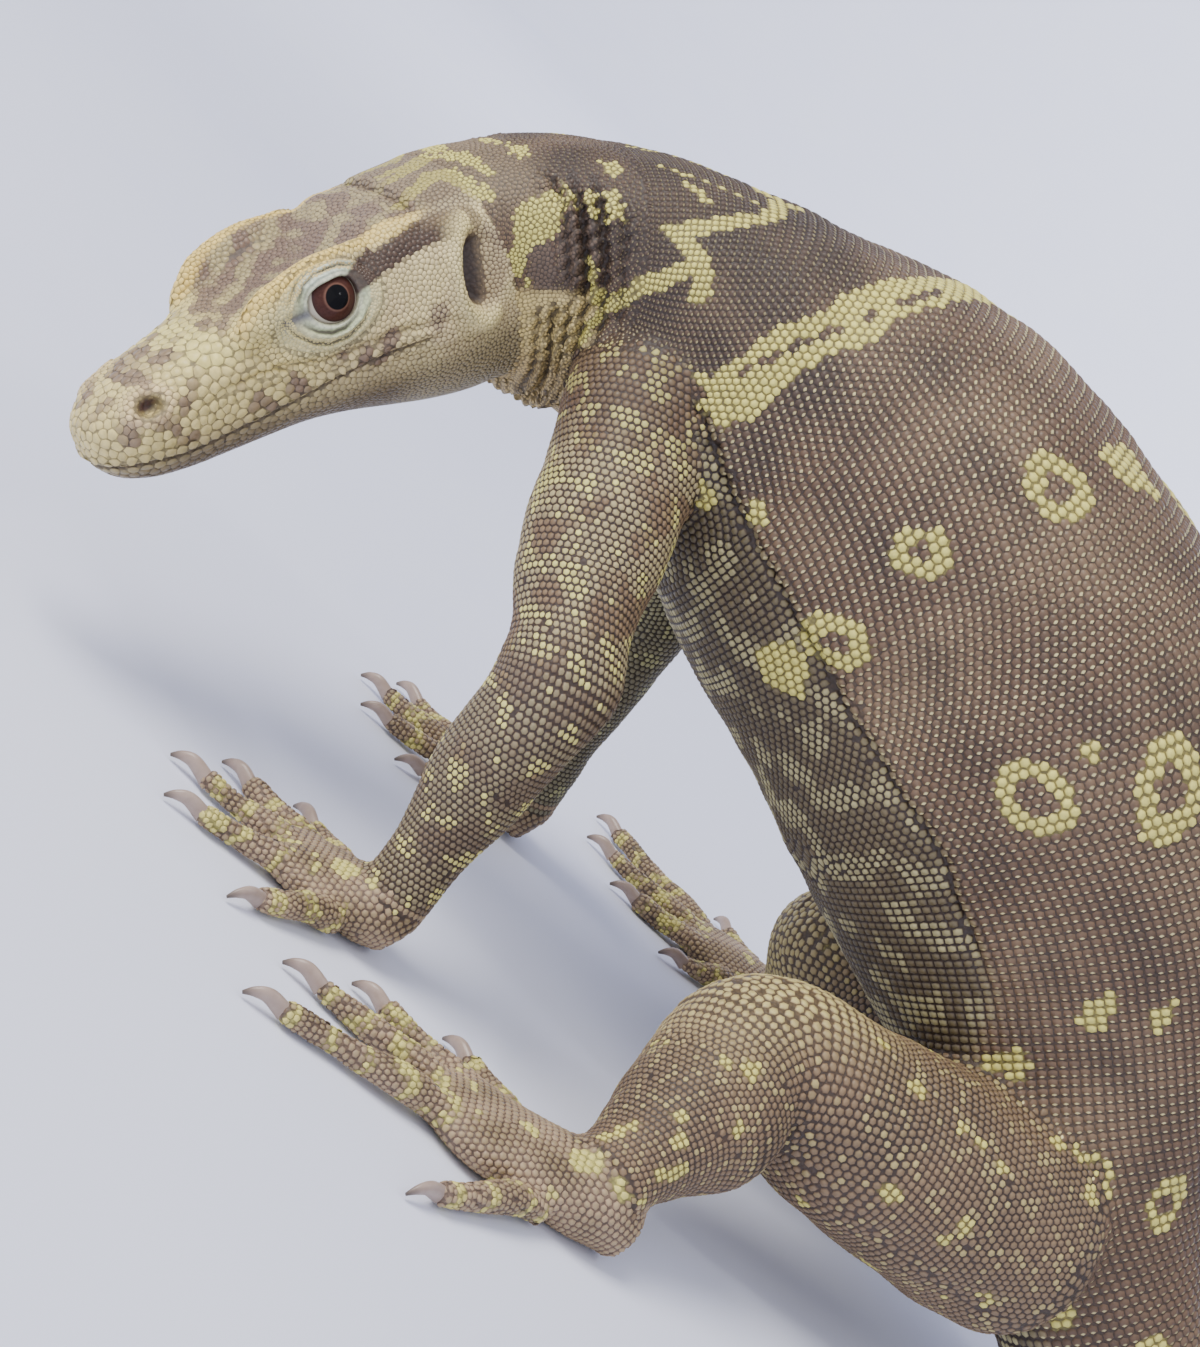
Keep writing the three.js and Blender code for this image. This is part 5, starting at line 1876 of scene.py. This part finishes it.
def lid_faces(side):
    faces = []
    for first in range(0, (LID_RINGS - 1) * LID_SIDES, LID_SIDES):
        for k in range(LID_SIDES):
            i, j = first + k, first + (k + 1) % LID_SIDES
            face = (i, i + LID_SIDES, j + LID_SIDES, j)
            faces.append(face if side < 0 else face[::-1])
    return faces


def add_lids(side, skin, material, sheets, body):
    points, places, share, from_edge, outward = lid_points(side, skin)
    mesh = new_mesh("lids_left" if side < 0 else "lids_right", points, lid_faces(side))
    if sum(face.normal @ Vector(outward) for face in mesh.polygons) < 0:
        mesh.flip_normals()
    outer = paint(body.find(points), np.full(len(points), 0.5), sheets)[0]
    tint = mix(lid_colours(points, places, from_edge), outer * 0.8, smooth_step(0.8, 0.97, share))
    add_colour(mesh, "ground", tint)
    mesh.materials.append(material)
    add_piece(mesh.name, mesh)
    return mesh_points(mesh), mesh_normals(mesh), share


# Claws: they begin inside the digit

CLAW_RINGS = 36
CLAW_SIDES = 20
CLAW_ROOT = 1.6
# Height of the lowest points of a claw above the floor
CLAW_GAP = 0.02


def claw_material():
    material, tree, shader = new_material("claw_horn", 0.32)
    grain = textured(tree, "ShaderNodeTexNoise", Scale=700.0, Detail=3.0).outputs["Fac"]
    horn = blended(tree, (0.30, 0.215, 0.175, 1), (0.44, 0.34, 0.28, 1), grain)
    tip = curve_between(tree, read(tree, "along"), 0.55, 1.0)
    colour = blended(tree, horn, (0.10, 0.075, 0.06, 1), tip)
    finished(tree, shader, colour, grain, 0.2, 0.0002)
    return material


def add_claws(material):
    u_values = np.linspace(0, 3, CLAW_RINGS)
    along = np.concatenate([np.repeat(u_values / 3, CLAW_SIDES), [0, 1]])
    for limb_name, limb in LIMBS.items():
        kind = "finger" if limb_name.startswith("arm") else "toe"
        side = limb_name.split("_")[1]
        rows = paw_rows(limb)
        for number in range(1, 6):
            claw = rows[f"claw_{number}"].copy()
            claw[0, :3] -= unit(claw[1, :3] - claw[0, :3]) * CLAW_ROOT
            points, faces = grid(lambda u, a: tube_surface(claw, FLOOR_UP, u, a), u_values, CLAW_SIDES)
            points[:, 2] = np.maximum(points[:, 2], CLAW_GAP)
            mesh = new_mesh(f"claw_{limb_name}_{number}", points, faces)
            add_value(mesh, "along", along)
            mesh.materials.append(material)
            add_piece(mesh.name, mesh, [f"{kind}_claw_{side}_{number}"])


FLESH_NODES = (
    ["head", "lower_jaw", "neck", "chest", "belly", "pelvis"]
    + [f"tail_{n}" for n in range(1, 6)]
    + [f"{part}_{side}" for side in ("left", "right")
       for part in ("upper_arm", "forearm", "hand", "thigh", "shank", "foot")]
)


# Lengths of trunk and tail whose scales are a mesh, or two, of their own: name, start and end
LENGTHS = [("neck", -99, 52), ("chest", 52, 105), ("belly", 105, 165), ("pelvis", 165, 240)]
TAIL_LENGTHS = [("tail_base", 240, 400), ("tail_end", 400, 999)]


def split_coat(at, sheets):
    """Groups of scales small enough to be handled as one mesh each."""
    names = np.array([sheet.name for sheet in sheets])[at["part"]]
    groups = {}

    def halves(name, here, left):
        groups[f"{name}_left"] = here & left
        groups[f"{name}_right"] = here & ~left

    def on_spine(low, high):
        return (names == "spine") & (at["s"] >= low) & (at["s"] < high)

    for name, low, high in LENGTHS:
        halves(name, on_spine(low, high), at["t"] < 0)
    for name, low, high in TAIL_LENGTHS:
        groups[name] = on_spine(low, high)
    for limb_name in LIMBS:
        groups[limb_name] = names == limb_name
        groups[limb_name + "_paw"] = np.char.startswith(names, limb_name + "_")
    halves("head", names == "head", at["head"][:, 1] < 0)
    return groups


# Rings of a scale from its edge to its middle: share of its reach, height, and 1 at the rim
BODY_PROFILE = [(1.0, -0.16, 1.0), (0.74, 0.18, 0.5), (0, 0.27, 0)]
HEAD_PROFILE = [(0.98, -0.16, 1.0), (0.87, 0.16, 0.55), (0, 0.22, 0)]
# The skin between the scales is darker than they are, and they differ in tone by this much
SKIN_SHADE = 0.6
TONE_SPREAD = 0.16


def add_skin(sheets, body):
    """The one skin, carved and painted; gives it for searching, with its places on the body."""
    mesh = one_skin(rough_forms(), VOXEL)
    soften(mesh)
    refine_head(mesh)
    at_skin = carve(mesh, body, sheets)
    skin = Skin(mesh)
    ground = paint(at_skin, np.full(len(at_skin["s"]), 0.5), sheets)[0]
    add_colour(mesh, "ground", ground * SKIN_SHADE)
    mesh.materials.clear()
    mesh.materials.append(skin_material())
    add_piece("skin", mesh, FLESH_NODES)
    return skin, at_skin


def add_coat(at, sheets):
    """All the scales, as one mesh for each group of them."""
    jitter = RNG.random(len(at["s"]))
    ground, *dots = paint(at, jitter, sheets)
    tone = 1 + TONE_SPREAD * (RNG.random(len(jitter)) - 0.5)
    colours = (ground * tone[:, None], *dots)
    body_look = (cell_radii(at, 6), BODY_PROFILE, "scaly_skin",
                 coat_material("coat_scales", 0.52, 0.62))
    head_look = (clipped(at, *cell_radii(at, 8, cap=1.0)), HEAD_PROFILE, "head_skin",
                 coat_material("head_scales", 0.42, 0.52))
    for name, mask in split_coat(at, sheets).items():
        look = head_look if name.startswith("head") else body_look
        build_coat(f"scales_{name}", at, np.where(mask)[0], colours, *look)


def main():
    sheets = body_sheets()
    body = BodyMap(sheets)
    skin, at_skin = add_skin(sheets, body)
    lid_skin = lid_material()
    lids = [add_lids(side, skin, lid_skin, sheets, body) for side in (-1, 1)]
    add_coat(all_scales(sheets, skin, body, at_skin, lids), sheets)
    eye = eye_material()
    add_eye(-1, "eye_left", eye)
    add_eye(1, "eye_right", eye)
    add_claws(claw_material())


# Camera: the photograph's view, rolled about its own axis because the animal stands on the floor
CAMERA_RISE = math.radians(12)
CAMERA_ROLL = math.radians(45)
CAMERA_DISTANCE = 430.0
CAMERA_TARGET = np.array([153.0, 0.0, 46.0])
MM_PER_PIXEL = 0.17
IMAGE_SIZE = (1200, 1347)
SENSOR = 36.0


def add_camera():
    data = bpy.data.cameras.new("camera")
    data.sensor_width = SENSOR
    data.sensor_fit = "AUTO"
    data.lens = SENSOR * CAMERA_DISTANCE / (MM_PER_PIXEL * max(IMAGE_SIZE))
    data.clip_start, data.clip_end = 0.01, 20.0
    camera = bpy.data.objects.new("camera", data)
    back = np.array([0.0, -math.cos(CAMERA_RISE), math.sin(CAMERA_RISE)])
    level = np.array([1.0, 0.0, 0.0])
    upright = np.cross(back, level)
    right = math.cos(CAMERA_ROLL) * level + math.sin(CAMERA_ROLL) * upright
    up = -math.sin(CAMERA_ROLL) * level + math.cos(CAMERA_ROLL) * upright
    place = (CAMERA_TARGET + back * CAMERA_DISTANCE + CENTRE_SHIFT) * MM
    camera.matrix_world = Matrix([*zip(right, up, back, place), (0, 0, 0, 1)])
    bpy.context.scene.collection.objects.link(camera)
    bpy.context.scene.camera = camera


def add_stage():
    """A pale floor that curves up into a wall far behind the animal."""
    near, far, corner, top, half = -9.0, 2.2, 0.8, 6.0, 12.0
    outline = [(near, 0.0)]
    outline += [(far + corner * math.sin(a), corner - corner * math.cos(a))
                for a in np.linspace(0, math.pi / 2, 13)]
    outline.append((far + corner, top))
    points = [(x, y, z) for y, z in outline for x in (-half, half)]
    faces = [(2 * i, 2 * i + 1, 2 * i + 3, 2 * i + 2) for i in range(len(outline) - 1)]
    mesh = bpy.data.meshes.new("floor")
    mesh.from_pydata(points, [], faces)
    mesh.shade_smooth()
    floor = bpy.data.objects.new("floor", mesh)
    bpy.context.scene.collection.objects.link(floor)
    material, tree, shader = new_material("pale_floor", 0.85, 0.2)
    grain = textured(tree, "ShaderNodeTexNoise", Scale=14.0, Detail=5.0).outputs["Fac"]
    tone = blended(tree, (0.80, 0.83, 1.0, 1), (0.85, 0.88, 1.0, 1), grain)
    tree.links.new(tone, shader.inputs["Base Color"])
    mesh.materials.append(material)


def add_light(name, place, aim, size, energy, colour=(1, 1, 1)):
    light = bpy.data.lights.new(name, "AREA")
    light.energy, light.size, light.color = energy, size, colour
    lamp = bpy.data.objects.new(name, light)
    lamp.location = place
    lamp.visible_camera = False
    lamp.rotation_mode = "QUATERNION"
    lamp.rotation_quaternion = (Vector(place) - Vector(aim)).to_track_quat("Z", "Y")
    bpy.context.scene.collection.objects.link(lamp)


def add_lights():
    world = bpy.data.worlds.new("studio")
    world.use_nodes = True
    world.node_tree.nodes["Background"].inputs[0].default_value = (0.93, 0.95, 1.1, 1)
    world.node_tree.nodes["Background"].inputs[1].default_value = 0.8
    bpy.context.scene.world = world
    animal = (-0.2, 0.0, 0.06)
    add_light("key", (-1.1, -0.5, 1.1), animal, 0.7, 22, (1.0, 0.97, 0.92))
    add_light("fill", (-0.1, -1.8, 0.6), animal, 2.4, 9, (1.0, 0.98, 0.95))
    add_light("catch_light", (0.29, -0.31, 1.09), (-0.31, -0.04, 0.08), 0.12, 1.2)
    add_light("wall_light", (0.5, 1.0, 1.4), (0.8, 3.0, 0.4), 1.5, 60)


add_camera()
main()
add_stage()
add_lights()
